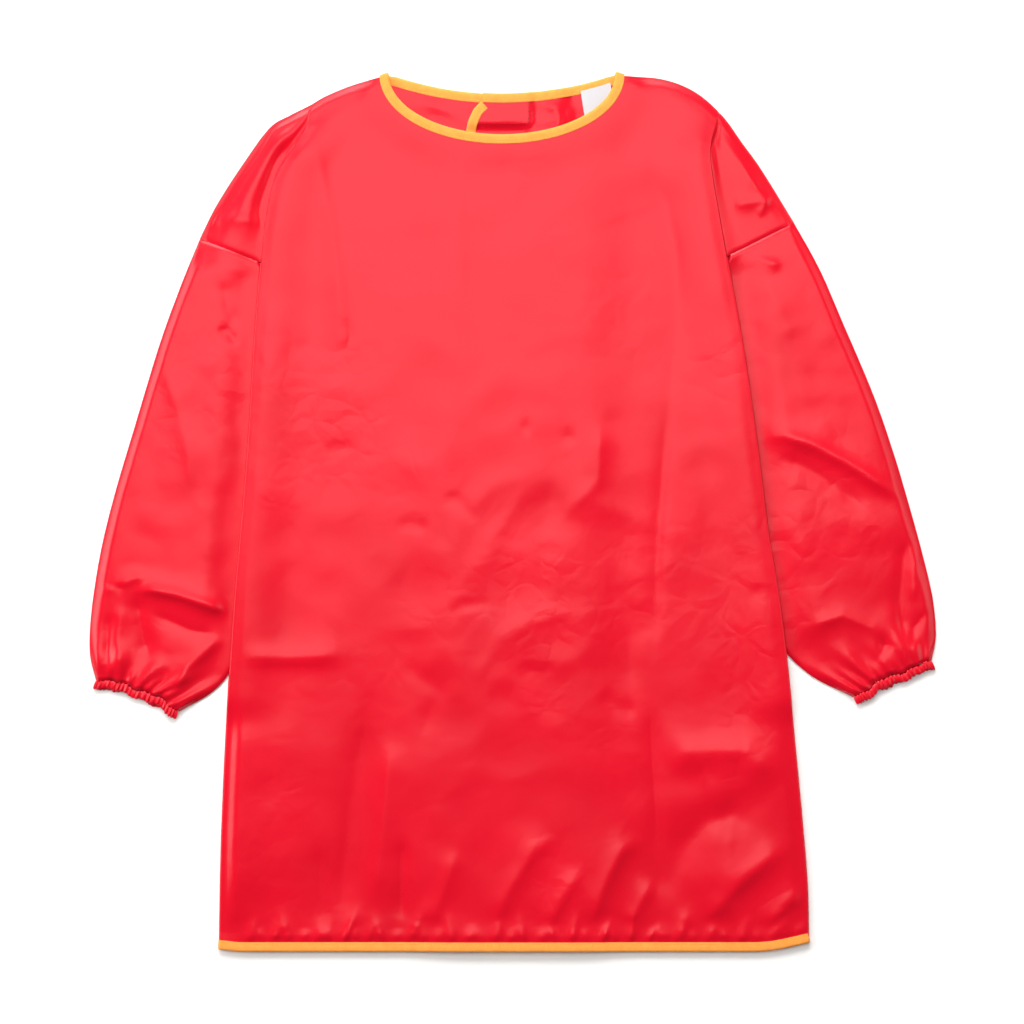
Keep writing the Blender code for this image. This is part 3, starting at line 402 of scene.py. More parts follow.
def front_shoulder_height(height, x, y):
    """Brings the front down to the shoulder seam, most of it in the last few millimetres."""
    margin = shoulder_margin(x, y)
    seam = shoulder_seam_height(x) + 0.65 * (1 + ramp(from_neck_corner(x), 14, 0))
    height = mix(height, np.minimum(height, seam + 1.3), ramp(margin, np.where(x < NECK_X, 18, 12), 3))
    return mix(height, seam, np.sqrt(ramp(margin, 4.5, 0)))


def armhole_height(side, share):
    """Height of the cloth along the armhole seam: 0 at the underarm, 1 at the shoulder."""
    if side == LEFT:
        height = 2.1 + 2.2 * ramp(share, 0.0, 0.5)
    else:
        height = 0.7 + 2 * FOLD_RADIUS - 0.7 * np.exp(-(((share - 0.2) / 0.14) ** 2))
    return mix(height, 1.8, ramp(share, 0.55 if side == LEFT else 0.9, 1.0))


def sheet_mesh(name, patches, finish, thickness=CLOTH, strip_map=None):
    """A piece of cloth from grids of points, welded where they meet and given its thickness."""
    points, faces, first = [], [], 0
    for patch in patches:
        rows, columns = patch.shape[:2]
        corner = first + np.arange(rows * columns).reshape(rows, columns)
        quads = [corner[:-1, :-1], corner[:-1, 1:], corner[1:, 1:], corner[1:, :-1]]
        faces.append(np.stack([quad.ravel() for quad in quads], axis=1))
        points.append(patch.reshape(-1, 3))
        first += rows * columns
    mesh = bpy.data.meshes.new(name)
    mesh.from_pydata((np.concatenate(points) * MM).tolist(), [], np.concatenate(faces).tolist())
    if strip_map is not None:
        corners = np.empty(len(mesh.loops), dtype=np.int32)
        mesh.loops.foreach_get("vertex_index", corners)
        places = strip_map.reshape(-1, 2)[corners] * MM
        mesh.uv_layers.new(name="strip").data.foreach_set("uv", places.ravel().astype(np.float32))
    piece = bpy.data.objects.new(name, mesh)
    bpy.context.collection.objects.link(piece)
    mesh.materials.append(finish)
    bpy.ops.object.select_all(action="DESELECT")
    piece.select_set(True)
    bpy.context.view_layer.objects.active = piece
    bpy.ops.object.mode_set(mode="EDIT")
    bpy.ops.mesh.select_all(action="SELECT")
    bpy.ops.mesh.remove_doubles(threshold=0.02 * MM)
    bpy.ops.mesh.dissolve_degenerate(threshold=0.01 * MM)
    bpy.ops.mesh.select_all(action="SELECT")
    bpy.ops.mesh.normals_make_consistent(inside=False)
    bpy.ops.object.mode_set(mode="OBJECT")
    if thickness:
        wall = piece.modifiers.new("cloth_thickness", "SOLIDIFY")
        wall.thickness = thickness * MM
        wall.offset = 0.0
        wall.use_even_offset = False
        bpy.ops.object.modifier_apply(modifier=wall.name)
    bpy.ops.object.shade_smooth_by_angle(angle=math.radians(65))
    return piece


def dress(piece, slot, *nodes):
    """Puts a piece in place of its plain solids and fixes it to the garment."""
    if nodes:
        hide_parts(*nodes)
    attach(piece, "root")


def flat_area(points):
    """The area of a grid of points, in square metres."""
    along = np.diff(points, axis=0)[:, :-1]
    across = np.diff(points, axis=1)[:-1]
    return float(np.linalg.norm(np.cross(along, across), axis=2).sum()) * MM * MM


# Nylon taffeta with a polyurethane coating on its inside: a smooth, close plain weave with a soft
# sheen, which goes pale where it faces the light and stays a deep clear red in its hollows. The
# threads are 0.25 mm apart, too fine to show, so the weave is drawn as a faint 1.2 mm grain.
nylon, shader = new_finish("coated_nylon_taffeta")
place = add_node(nylon, "ShaderNodeTexCoord").outputs["Object"]
patches = add_node(nylon, "ShaderNodeTexNoise", {"Scale": 14.0, "Detail": 3.0}, {"Vector": place})
shade = add_node(nylon, "ShaderNodeMapRange", {"From Min": 0.3, "From Max": 0.7}, {"Value": patches.outputs[0]})
reds = add_node(nylon, "ShaderNodeMix", {"data_type": "RGBA"}, {0: shade.outputs[0]})
reds.inputs[6].default_value = linear("#D00721")
reds.inputs[7].default_value = linear("#DA0925")
nylon.node_tree.links.new(reds.outputs[2], shader.inputs["Base Color"])
shader.inputs["Roughness"].default_value = 0.27
shader.inputs["Specular IOR Level"].default_value = 0.3
crumples = add_node(nylon, "ShaderNodeTexNoise", {"Scale": 70.0, "Detail": 4.0, "Distortion": 0.6}, {"Vector": place})
soft = add_node(nylon, "ShaderNodeBump", {"Strength": 0.2, "Distance": 0.9 * MM}, {"Height": crumples.outputs[0]})
# Pressed small creases in patches: flat facets about 20 mm across, their edges bent a little
bend = add_node(nylon, "ShaderNodeTexNoise", {"Scale": 30.0, "Detail": 2.0}, {"Vector": place})
bent = add_node(nylon, "ShaderNodeMix", {"data_type": "VECTOR", 0: 0.03}, {4: place, 5: bend.outputs[1]})
facets = add_node(nylon, "ShaderNodeTexVoronoi", {"feature": "DISTANCE_TO_EDGE", "Scale": 50.0}, {"Vector": bent.outputs[1]})
areas = add_node(nylon, "ShaderNodeTexNoise", {"Scale": 7.0, "Detail": 1.0}, {"Vector": place})
amount = add_node(nylon, "ShaderNodeMapRange", {"From Min": 0.46, "From Max": 0.64}, {"Value": areas.outputs[0]})
pressed = add_node(nylon, "ShaderNodeMath", {"operation": "MULTIPLY"}, {0: facets.outputs[0], 1: amount.outputs[0]})
creases = add_node(nylon, "ShaderNodeBump", {"Strength": 0.45, "Distance": 1.0 * MM},
                   {"Height": pressed.outputs[0], "Normal": soft.outputs[0]})
threads = add_node(nylon, "ShaderNodeTexNoise", {"Scale": 830.0, "Detail": 1.0}, {"Vector": place})
weave = add_node(nylon, "ShaderNodeBump", {"Strength": 0.12, "Distance": 0.1 * MM},
                 {"Height": threads.outputs[0], "Normal": creases.outputs[0]})
nylon.node_tree.links.new(weave.outputs[0], shader.inputs["Normal"])


def front_top_line():
    """Points along the front's top: left shoulder, neckline, right shoulder."""
    left = np.linspace(fold_start(LEFT, RIDGE_TOP_Y), SHOULDERS[LEFT][-1][0], 32)
    right = np.linspace(SHOULDERS[RIGHT][0][0], fold_start(RIGHT, RIDGE_TOP_Y), 37)
    turns = np.linspace(0, 1, 123)[1:-1]
    turns = (turns + np.arccos(1 - 2 * turns) / np.pi) / 2
    angle = np.pi * turns
    into = np.stack([-np.cos(angle) / NECK_HALF_WIDTH, -np.sin(angle) / FRONT_NECK_DEPTH], axis=1)
    into /= np.linalg.norm(into, axis=1)[:, None]
    neck_x = NECK_X - NECK_HALF_WIDTH * np.cos(angle) + into[:, 0] * CLOTH_IN_TAPE
    neck_y = NECK_Y - FRONT_NECK_DEPTH * np.sin(angle) + into[:, 1] * CLOTH_IN_TAPE
    x = np.concatenate([left, neck_x, right])
    y = np.concatenate([shoulder_line(left), neck_y, shoulder_line(right)])
    return x, y


top_x, top_y = front_top_line()
share = (top_x - fold_start(LEFT, top_y)) / (fold_start(RIGHT, top_y) - fold_start(LEFT, top_y))
share = np.clip(share, 0, 1)[None, :]
armhole_y = mix(UNDERARM[LEFT][1], UNDERARM[RIGHT][1], share)
skirt_rows = np.concatenate([np.linspace(0, 0.05, 20)[:-1], np.linspace(0.05, 1, 124)])[:, None]
chest_rows = np.concatenate([[0, 0.005, 0.01], np.linspace(0.018, 1, 54)])[:, None]
bottom_x = mix(fold_start(LEFT, HEM_Y), fold_start(RIGHT, HEM_Y), share)
body_y = np.concatenate([
    mix(HEM_Y + CLOTH_IN_TAPE + hem_rise(bottom_x), armhole_y, skirt_rows)[:-1],
    mix(armhole_y, top_y[None, :], chest_rows),
])
body_x = mix(fold_start(LEFT, body_y), fold_start(RIGHT, body_y), share)
body = np.stack([body_x, body_y, front_height(body_x, body_y)], axis=2)
front_patches = [body]
front_area = flat_area(body)
chest = body[len(skirt_rows) - 1:]
for side in (LEFT, RIGHT):
    # The dropped shoulder, from the ridge out to the shoulder line and down to the armhole seam
    ridge = chest[:, 0 if side == LEFT else -1][:, None]
    outer_x = mix(SHOULDER_TIP[side][0], fold_start(side, RIDGE_TOP_Y), chest_rows)
    outer_y = shoulder_line(outer_x)
    out = np.concatenate([[0, 0.008, 0.02, 0.04], np.linspace(0.06, 0.9, 26)[:-1], np.linspace(0.9, 1, 8)])[None]
    spot_x = mix(ridge[..., 0], outer_x, out)
    spot_y = mix(ridge[..., 1], outer_y, out)
    height = mix(armhole_height(side, out), ridge[..., 2], ramp(out, 0.018, 0.0))
    if side == LEFT:
        height += 1.2 * ramp(chest_rows, 0.02, 0.3) * ramp(out, 0.02, 0.5) * ramp(out, 1, 0.5)
    height = mix(height, ridge[..., 2], chest_rows**3 * ramp(out, 0.25, 0))
    creased = crease_rise(SHOULDER_CREASES[side], spot_x, spot_y) + 0.5 * crumple(spot_x, spot_y, 30, 1.9)
    height += creased * ramp(out, 0, 0.08) * ramp(chest_rows, 0, 0.12)
    height -= 0.6 * ramp(chest_rows, 0.018, 0) * ramp(out, 0, 0.1)
    height = front_shoulder_height(np.maximum(height, 1.8), spot_x, spot_y)
    height[:, 0] = ridge[:, 0, 2]
    height[-1] = ridge[-1, 0, 2]
    shoulder = np.stack([spot_x, spot_y, height], axis=2)
    front_patches.append(shoulder)
    front_area += flat_area(shoulder)
    # The side fold, from the top down round to the seam underneath
    fold_y = body[:len(skirt_rows), 0 if side == LEFT else -1, 1][:, None]
    turn = np.concatenate([np.linspace(0, 1, 9), [1.5, 2.0]])[None]
    angle = np.pi * np.minimum(turn, 1)
    slant = np.where(fold_y > UNDERARM[side][1] - 12, 4.5 * ramp(fold_y, UNDERARM[side][1] - 12, UNDERARM[side][1]), 0)
    fold_at = fold_y - slant * np.minimum(turn, 1)
    centre_x = fold_start(side, fold_at)
    fold_x = centre_x + OUTWARD[side] * FOLD_RADIUS * np.sin(angle)
    fold_x = np.where(turn > 1, centre_x - OUTWARD[side] * SEAM_TUCK * (turn - 1), fold_x)
    fold_z = mix(seam_height(fold_at), side_height(fold_at), 0.5 + 0.5 * np.cos(angle))
    fold_z[:, 0] = body[:len(skirt_rows), 0 if side == LEFT else -1, 2]
    fold = np.stack([fold_x, fold_at, fold_z], axis=2)
    front_patches.append(fold)
    front_area += flat_area(fold)
front = sheet_mesh("front_panel", front_patches, nylon)
dress(front, "red_coated_nylon", "front")

# ------------------------------------------------------------------------------------------------
# The back: two halves of the same nylon that overlap at a bound opening down the middle. The right
# half lies on the left one inside the garment, and both lie on the table.
REST = 0.2  # height of cloth that lies on the table
BACK_NECK_DEPTH = 14.3
NECK_CORNER_RADIUS = 1.5
LEFT_EDGE_X = 26.0
RIGHT_NECK_Y = 304.0
EDGE_TOP_Y = 299.5
RIGHT_EDGE = ((-325.6, -22.0), (-150.0, -26.0), (0.0, -34.0), (140.0, -38.0), (230.0, -38.0),
              (280.0, -34.8), (296.0, -29.5), (304.0, -22.0))
BACK_CREASES = (
    ((0.9, 7.0, 5.0, ((-60.0, 250.0), (-66.0, 130.0), (-62.0, 20.0))),
     (0.8, 9.0, 6.0, ((-150.0, 60.0), (-120.0, -20.0), (-126.0, -120.0))),
     (1.0, 6.0, 8.0, ((-180.0, -60.0), (-140.0, -66.0), (-94.5, -60.0))),
     (0.9, 9.0, 6.0, ((-40.0, -60.0), (-46.0, -170.0), (-36.5, -279.5))),
     (1.0, 10.0, 7.0, ((-120.0, -299.5), (-104.5, -250.0), (-111.5, -190.0))),
     (0.8, 8.0, 10.0, ((-176.0, -279.5), (-160.0, -220.0), (-166.0, -170.0))),
     (0.8, 7.0, 7.0, ((-72.0, 305.5), (-52.0, 296.5), (-30.5, 288.0), (-14.0, 270.0))),
     (0.9, 9.0, 6.0, ((-130.0, 270.0), (-111.5, 230.0), (-104.5, 180.0)))),
    ((1.5, 3.0, 4.5, ((23.5, 303.5), (32.5, 296.0), (35.0, 288.0), (28.0, 276.0))),
     (0.9, 3.0, 3.0, ((10.5, 284.0), (22.0, 281.0), (34.0, 283.5))),
     (0.8, 4.0, 4.0, ((43.5, 302.0), (42.0, 292.5), (48.0, 279.5))),
     (0.9, 7.0, 5.0, ((84.5, 240.0), (92.0, 130.0), (86.0, 20.0))),
     (0.8, 9.0, 6.0, ((150.0, 60.0), (124.5, -20.0), (131.5, -120.0))),
     (1.0, 6.0, 8.0, ((60.0, -90.5), (110.5, -97.5), (160.0, -90.5))),
     (0.9, 9.0, 6.0, ((66.0, -120.0), (72.0, -190.0), (63.5, -290.0))),
     (1.0, 10.0, 7.0, ((140.0, -299.5), (128.0, -250.0), (134.0, -190.0)))),
)
right_edge = smooth_curve(RIGHT_EDGE)


def back_neck_line(x):
    """The free edge of the back neckline at x, and the way from it into the cloth."""
    across = (x - NECK_X) / NECK_HALF_WIDTH
    free = np.stack([x, NECK_Y - BACK_NECK_DEPTH * (1 - across * across)], axis=-1)
    into = np.stack([2 * BACK_NECK_DEPTH * across / NECK_HALF_WIDTH, -np.ones_like(x)], axis=-1)
    return free, into / np.linalg.norm(into, axis=-1)[..., None]


def back_neck(side, end_x, steps):
    """The back neckline from a corner to a back edge: a tight turn, and then a shallow curve."""
    corner, way = np.array(NECK_CORNER[side]), np.array(SHOULDER_WAY[side])
    start_x = corner[0] - OUTWARD[side] * 6.0
    first_free, first_into = back_neck_line(np.array([start_x]))
    turns = np.linspace(0, 1, 7)[:, None]
    into = mix(way, first_into, turns)
    into /= np.linalg.norm(into, axis=1)[:, None]
    free = corner - way * NECK_CORNER_RADIUS + into * NECK_CORNER_RADIUS
    along_free, along_into = back_neck_line(np.linspace(start_x, end_x, steps))
    return np.concatenate([free, along_free]), np.concatenate([into, along_into])


def right_over_left(x, y):
    """What the tapes, the patches and the left half add under the right half."""
    over_cloth = 1.4 * ramp(x, 16, 8) + 0.4 * ramp(x - right_edge(y), 16, 8)
    over_tape = 2.5 * ramp(x, 48, 32) * ramp(x, 4, 12)
    over_patches = 4.4 * ramp(x, 18.5, 12.5) * ramp(y, 281.5, 286)
    over_neck_tape = 2.9 * ramp(x, 48, 32) * ramp(y, 284, 300)
    over_hem_tape = 2.8 * ramp(x, 48, 32) * ramp(y, HEM_EDGE + 22, HEM_EDGE + 6)
    return np.max([over_cloth, over_tape, over_patches, over_neck_tape, over_hem_tape], axis=0)


def back_height(side, x, y):
    """Height of a half of the back, which lies on the table but for its lifted edges."""
    from_side = (side_seam(side, y) - x) * OUTWARD[side]
    tape = 1.0 - REST
    layers = [(seam_height(y) - REST) * ramp(from_side, 22, 0),
              tape * ramp(above_hem(x, y), 8, 0),
              tape * ramp(y, 290, 302) * ramp(abs(x - NECK_X), 92, 84)]
    if side == LEFT:
        layers.append(tape * ramp(LEFT_EDGE_X - x, 16, 8))
    else:
        over = right_over_left(x, y)
        layers.append(over + LAID * np.minimum(over, 1))
    return REST + np.max(layers, axis=0)


def back_shoulder_height(height, x, y):
    step = 0.65 * (1 + ramp(from_neck_corner(x), 14, 0))
    return mix(height, shoulder_seam_height(x) - step, ramp(shoulder_margin(x, y), 10, 0))


for side, name in ((LEFT, "back_left"), (RIGHT, "back_right")):
    def centre_edge(y):
        if side == LEFT:
            return np.full_like(y, LEFT_EDGE_X - CLOTH_IN_TAPE)
        return right_edge(y) + CLOTH_IN_TAPE

    free, into = back_neck(side, float(centre_edge(np.array(RIGHT_NECK_Y))), 52)
    neckline = (free + into * CLOTH_IN_TAPE)[::-1]
    beyond = np.linspace(neckline[-1, 0], side_seam(side, RIDGE_TOP_Y), 22)[1:]
    top_x = np.concatenate([neckline[:, 0], beyond])
    top_y = np.concatenate([neckline[:, 1], shoulder_line(beyond)])
    share = ((top_x - centre_edge(top_y)) / (side_seam(side, top_y) - centre_edge(top_y)))[None, :]
    share[0, 0] = 0.0
    share[0, -1] = 1.0
    corner, tip = UNDERARM[side], SHOULDER_TIP[side]
    slope = (tip[1] - corner[1]) / (tip[0] - corner[0])
    armhole_y = mix(corner[1], corner[1] + slope * (side_seam(side, corner[1]) - corner[0]), share)
    bottom_x = mix(centre_edge(np.array(HEM_Y)), side_seam(side, HEM_Y), share)
    back_y = np.concatenate([
        mix(HEM_Y + CLOTH_IN_TAPE + hem_rise(bottom_x), armhole_y, skirt_rows)[:-1],
        mix(armhole_y, top_y[None, :], chest_rows),
    ])
    back_x = mix(centre_edge(back_y), side_seam(side, back_y), share)
    inside = ramp(shoulder_margin(back_x, back_y), 4, 20) * ramp(above_hem(back_x, back_y), 2, 20)
    inside *= ramp((side_seam(side, back_y) - back_x) * OUTWARD[side], 4, 24)
    inside *= ramp((back_x - centre_edge(back_y)) * OUTWARD[side], 4, 16)
    creased = np.maximum(crease_rise(BACK_CREASES[side], back_x, back_y), 0) * inside
    loose = 0.5 * np.maximum(crumple(back_x, back_y, 40, 5.7 + side), 0) * inside
    height = back_shoulder_height(back_height(side, back_x, back_y) + creased + loose, back_x, back_y)
    half = np.stack([back_x, back_y, height], axis=2)
    edge = half[len(skirt_rows) - 1:, -1][:, None]
    outer_x = mix(tip[0], top_x[-1], chest_rows)
    outer_y = shoulder_line(outer_x)
    out = np.concatenate([np.linspace(0, 0.9, 14)[:-1], np.linspace(0.9, 1, 6)])[None]
    spot_x, spot_y = mix(edge[..., 0], outer_x, out), mix(edge[..., 1], outer_y, out)
    height = mix(edge[..., 2], REST, np.minimum(out * 4, 1))
    height = back_shoulder_height(height, spot_x, spot_y)
    height[:, 0] = edge[:, 0, 2]
    height[-1] = edge[-1, 0, 2]
    shoulder = np.stack([spot_x, spot_y, height], axis=2)
    piece = sheet_mesh(name + "_panel", [half, shoulder], nylon)
    dress(piece, "red_coated_nylon", name)

# ------------------------------------------------------------------------------------------------
# The sleeves: each is one piece of the same nylon, sewn to a tube along the underarm, set into the
# dropped armhole, and gathered at the wrist by the elastic in its cuff.
# The two ends of each ring of a sleeve as it lies, armhole to cuff, how far its middle bows back
# towards the shoulder, and the height between its layers.
SLEEVES = (
    ((-231.7, 200.8, -187.9, 183.4, 0.0, 2.9), (-246.5, 164.0, -187.0, 161.0, 0.0, 3.2),
     (-261.6, 122.0, -184.0, 120.0, 0.0, 3.5), (-280.8, 58.5, -187.5, 62.0, 0.0, 3.6),
     (-294.0, 14.0, -191.5, 8.0, 0.0, 3.6), (-303.5, -24.0, -196.0, -42.0, 1.0, 3.6),
     (-309.5, -58.0, -200.5, -84.0, 2.0, 3.4), (-312.6, -86.0, -206.0, -112.0, 3.0, 3.2),
     (-312.6, -107.0, -221.0, -132.5, 4.5, 2.8), (-308.4, -124.8, -247.0, -148.2, 5.5, 2.2)),
    ((208.1, 212.6, 159.7, 188.0, 0.0, 2.9), (227.0, 178.0, 161.8, 161.0, 0.0, 3.2),
     (243.5, 140.0, 163.0, 118.0, 0.0, 3.5), (266.0, 87.0, 170.5, 64.0, 0.0, 3.6),
     (281.0, 44.0, 176.5, 16.0, 0.0, 3.6), (293.5, 2.0, 182.5, -28.0, 1.0, 3.6),
     (303.8, -36.0, 189.0, -66.0, 2.0, 3.4), (310.5, -66.0, 196.5, -96.0, 3.0, 3.2),
     (312.6, -92.0, 219.0, -120.5, 4.0, 2.8), (309.6, -110.6, 251.4, -137.4, 2.5, 2.2)),
)
SLEEVE_CREASES = (
    ((3.6, 9.0, 5.0, ((-282.0, -60.0), (-267.0, -58.5), (-248.0, -62.0), (-227.0, -69.0), (-205.0, -77.5))),
     (-1.6, 8.0, 8.0, ((-268.5, -74.5), (-239.0, -88.0), (-215.5, -92.5))),
     (-2.0, 5.0, 8.0, ((-277.0, -61.5), (-274.5, -84.5), (-268.5, -110.5))),
     (1.3, 7.0, 6.0, ((-288.0, -66.0), (-292.5, -95.5), (-289.5, -119.0))),
     (-1.4, 4.0, 5.0, ((-298.0, -73.5), (-299.5, -103.0), (-296.5, -119.0))),
     (1.6, 7.0, 5.0, ((-305.5, -60.0), (-289.5, -53.5), (-268.5, -46.5))),
     (-1.3, 5.0, 4.0, ((-302.5, -54.0), (-286.5, -57.0))),
     (2.2, 7.0, 6.0, ((-252.5, -140.0), (-240.5, -116.0), (-221.5, -98.5), (-208.0, -95.5))),
     (-1.3, 4.0, 6.0, ((-220.0, 131.0), (-211.0, 134.0), (-203.5, 123.0))),
     (-0.9, 8.0, 6.0, ((-215.5, 171.0), (-211.0, 148.5), (-202.0, 135.5))),
     (1.2, 9.0, 12.0, ((-259.5, 111.5), (-242.5, 60.0), (-235.5, 8.0))),
     (1.2, 8.0, 6.0, ((-227.0, 188.5), (-211.0, 181.5), (-191.5, 175.5)))),
    ((3.2, 9.0, 5.0, ((183.0, 54.0), (200.5, 55.5), (221.5, 48.0), (246.5, 35.0), (291.0, 6.0))),
     (-1.6, 8.0, 9.0, ((191.5, 43.5), (218.5, 30.5), (264.0, -0.5))),
     (-1.7, 7.0, 5.5, ((296.5, -14.0), (288.5, -32.0), (285.5, -66.0), (290.0, -101.5))),
     (1.5, 5.0, 5.0, ((302.5, -21.5), (296.5, -43.5), (295.5, -69.0))),
     (-1.3, 5.0, 4.5, ((308.5, -70.5), (296.5, -86.5), (294.0, -104.5))),
     (-1.0, 4.0, 4.0, ((313.0, -88.0), (307.0, -98.5), (306.5, -109.0))),
     (0.9, 14.0, 9.0, ((184.0, 172.0), (196.0, 152.0), (206.0, 124.0))),
     (-1.2, 4.0, 6.0, ((170.0, 184.5), (168.0, 171.0), (166.5, 159.0))),
     (1.2, 5.0, 4.0, ((170.0, 188.5), (181.5, 187.0), (199.0, 180.0))),
     (2.4, 8.0, 6.0, ((212.5, -113.0), (234.5, -122.0), (258.5, -132.5))),
     (1.8, 8.0, 7.0, ((217.0, -86.5), (243.5, -77.5), (265.5, -86.5), (277.5, -97.0))),
     (-2.2, 6.0, 6.5, ((283.0, -100.0), (274.5, -99.0), (270.5, -111.5), (275.0, -128.0)))),
)
# The gathers: how far across from the outer end each starts at the cuff, how it leans on its way
# up the sleeve, its length, height and width.
GATHERS = (
    ((0.04, 0.03, 84.0, 2.6, 3.4), (0.14, 0.03, 58.0, 3.2, 3.2), (0.25, -0.02, 74.0, 3.8, 3.6),
     (0.36, 0.04, 46.0, 3.4, 3.0), (0.46, 0.08, 64.0, 4.0, 3.8), (0.57, 0.05, 38.0, 3.2, 2.8),
     (0.67, 0.12, 60.0, 4.0, 3.6), (0.78, 0.08, 44.0, 3.6, 3.2), (0.89, 0.07, 56.0, 3.2, 3.0),
     (0.97, 0.0, 26.0, 2.2, 2.2)),
    ((0.05, 0.02, 40.0, 2.6, 2.8), (0.15, 0.06, 62.0, 3.4, 3.2), (0.26, 0.05, 84.0, 3.8, 3.8),
     (0.37, 0.02, 48.0, 3.2, 3.0), (0.48, -0.03, 66.0, 4.0, 3.8), (0.59, -0.05, 40.0, 3.2, 3.0),
     (0.69, -0.02, 60.0, 3.8, 3.4), (0.80, 0.02, 44.0, 3.4, 3.2), (0.91, 0.0, 58.0, 3.0, 3.0),
     (0.98, 0.0, 24.0, 2.0, 2.2)),
)
CUFF_GAP = 2.2


def sleeve_rings(side, station):
    """The six values of a sleeve's ring at each station, from 0 at the armhole to 1 at the cuff."""
    rings = SLEEVES[side]
    place = station * (len(rings) - 1)
    values = [smooth_curve([(i, ring[field]) for i, ring in enumerate(rings)])(place) for field in range(6)]
    # Just below the underarm the sleeve's fold slips under the side of the body
    values[2] = values[2] - OUTWARD[side] * 3.0 * ramp(station, 0, 0.035) * ramp(station, 0.22, 0.1)
    return values


def ring_spots(ring, across):
    """Points from the outer end of each ring to its inner end, and the way to the cuff."""
    outer, inner = np.stack(ring[0:2], axis=-1), np.stack(ring[2:4], axis=-1)
    chord = inner - outer
    width = np.linalg.norm(chord, axis=-1)
    away = np.stack([chord[..., 1], -chord[..., 0]], axis=-1) / width[..., None]
    away = np.where(away[..., 1:] > 0, -away, away)
    spot = mix(outer, inner, across[..., None]) - away * (ring[4] * 4 * across * (1 - across))[..., None]
    return spot, away, width


def sleeve_height(side, ring, station, across, spot, width):
    """Height between the layers of a sleeve."""
    from_inner, from_outer = (1 - across) * width, across * width
    height = mix(1.7, ring[5] + 1.3, ramp(from_inner, 8, 34))
    height = mix(2.0, height, ramp(from_outer, 0, 8))
    inside = ramp(np.minimum(from_inner - 8, from_outer), 0, 14) * ramp(station, 0, 0.08)
    x, y = spot[..., 0], spot[..., 1]
    loose = 0.6 * crumple(x, y, 45, 2.2 + side) + 0.4 * crumple(x, y, 20, 6.1 + side)
    height += (crease_rise(SLEEVE_CREASES[side], x, y) * ramp(station, 1, 0.9) + loose) * inside
    height = no_lower(height, 0.9)
    seam = armhole_height(side, 1 - across) - 1.15 + 0.95 * ramp(station, 0, 0.008)
    height = mix(seam, height, ramp(station, 0, 0.08))
    from_cuff = (1 - station) * 335.0
    gathered = np.zeros_like(height)
    for start, lean, length, rise, size in GATHERS[side]:
        line = start + lean * from_cuff / 60
        beside = (across - line) * width / (size * (1 + from_cuff / 45))
        gathered += rise * np.exp(-beside * beside) * ramp(from_cuff, length, length * 0.15)
    gathered *= ramp(np.minimum(across, 1 - across), -0.02, 0.05)
    flat = mix(height, CUFF_GAP - 0.4, ramp(from_cuff, 42, 0))
    return flat + gathered * ramp(from_cuff, -6, 6)


def cuff_wander(side, across, upper):
    """How far the gathers push the end of a sleeve up and down, on its upper and its lower layer."""
    wave = 1.1 * np.sin(2 * np.pi * 1.9 * across + 1.7 * side + 2.1 * upper)
    wave = wave + 0.7 * np.sin(2 * np.pi * 4.7 * across + 2.4 * side + 0.8 * upper)
    return wave * ramp(np.minimum(across, 1 - across), 0, 0.1)


for side, name in ((LEFT, "sleeve_left"), (RIGHT, "sleeve_right")):
    inner_half = np.linspace(0, 1, 54)
    upper = 0.5 - 0.5 * np.cos(np.pi * inner_half)
    upper = mix(inner_half, upper, 0.35)
    across = np.concatenate([upper, upper[::-1][1:-1], upper[:1]])[None, :]
    level = np.concatenate([np.ones(54), np.zeros(53)])[None, :]
    station = np.concatenate([np.linspace(0, 0.03, 8)[:-1], np.linspace(0.03, 0.78, 120)[:-1], np.linspace(0.78, 1, 52)])
    station = station[:, None] * np.ones_like(across)
    across = across * np.ones_like(station)
    ring = sleeve_rings(side, station)
    spot, away, width = ring_spots(ring, across)
    tucked = 1.1 * ramp(station, 0.015, 0) * level - cuff_wander(side, across, level) * ramp(station, 0.93, 1)
    spot = spot - away * tucked[..., None]
    height = sleeve_height(side, ring, station, across, spot, width)
    ends = ramp(np.minimum(across, 1 - across) * width, 0, 2.5)
    upper_z = REST + height * mix(0.5, 1.0, np.sqrt(ends))
    under_z = REST + height * mix(0.5, 0.0, np.sqrt(ends))
    sleeve_z = np.where(level * np.ones_like(station) > 0.5, upper_z, under_z)
    tube = np.stack([spot[..., 0], spot[..., 1], sleeve_z], axis=2)
    piece = sheet_mesh(name + "_tube", [tube], nylon)
    dress(piece, "red_coated_nylon", name)

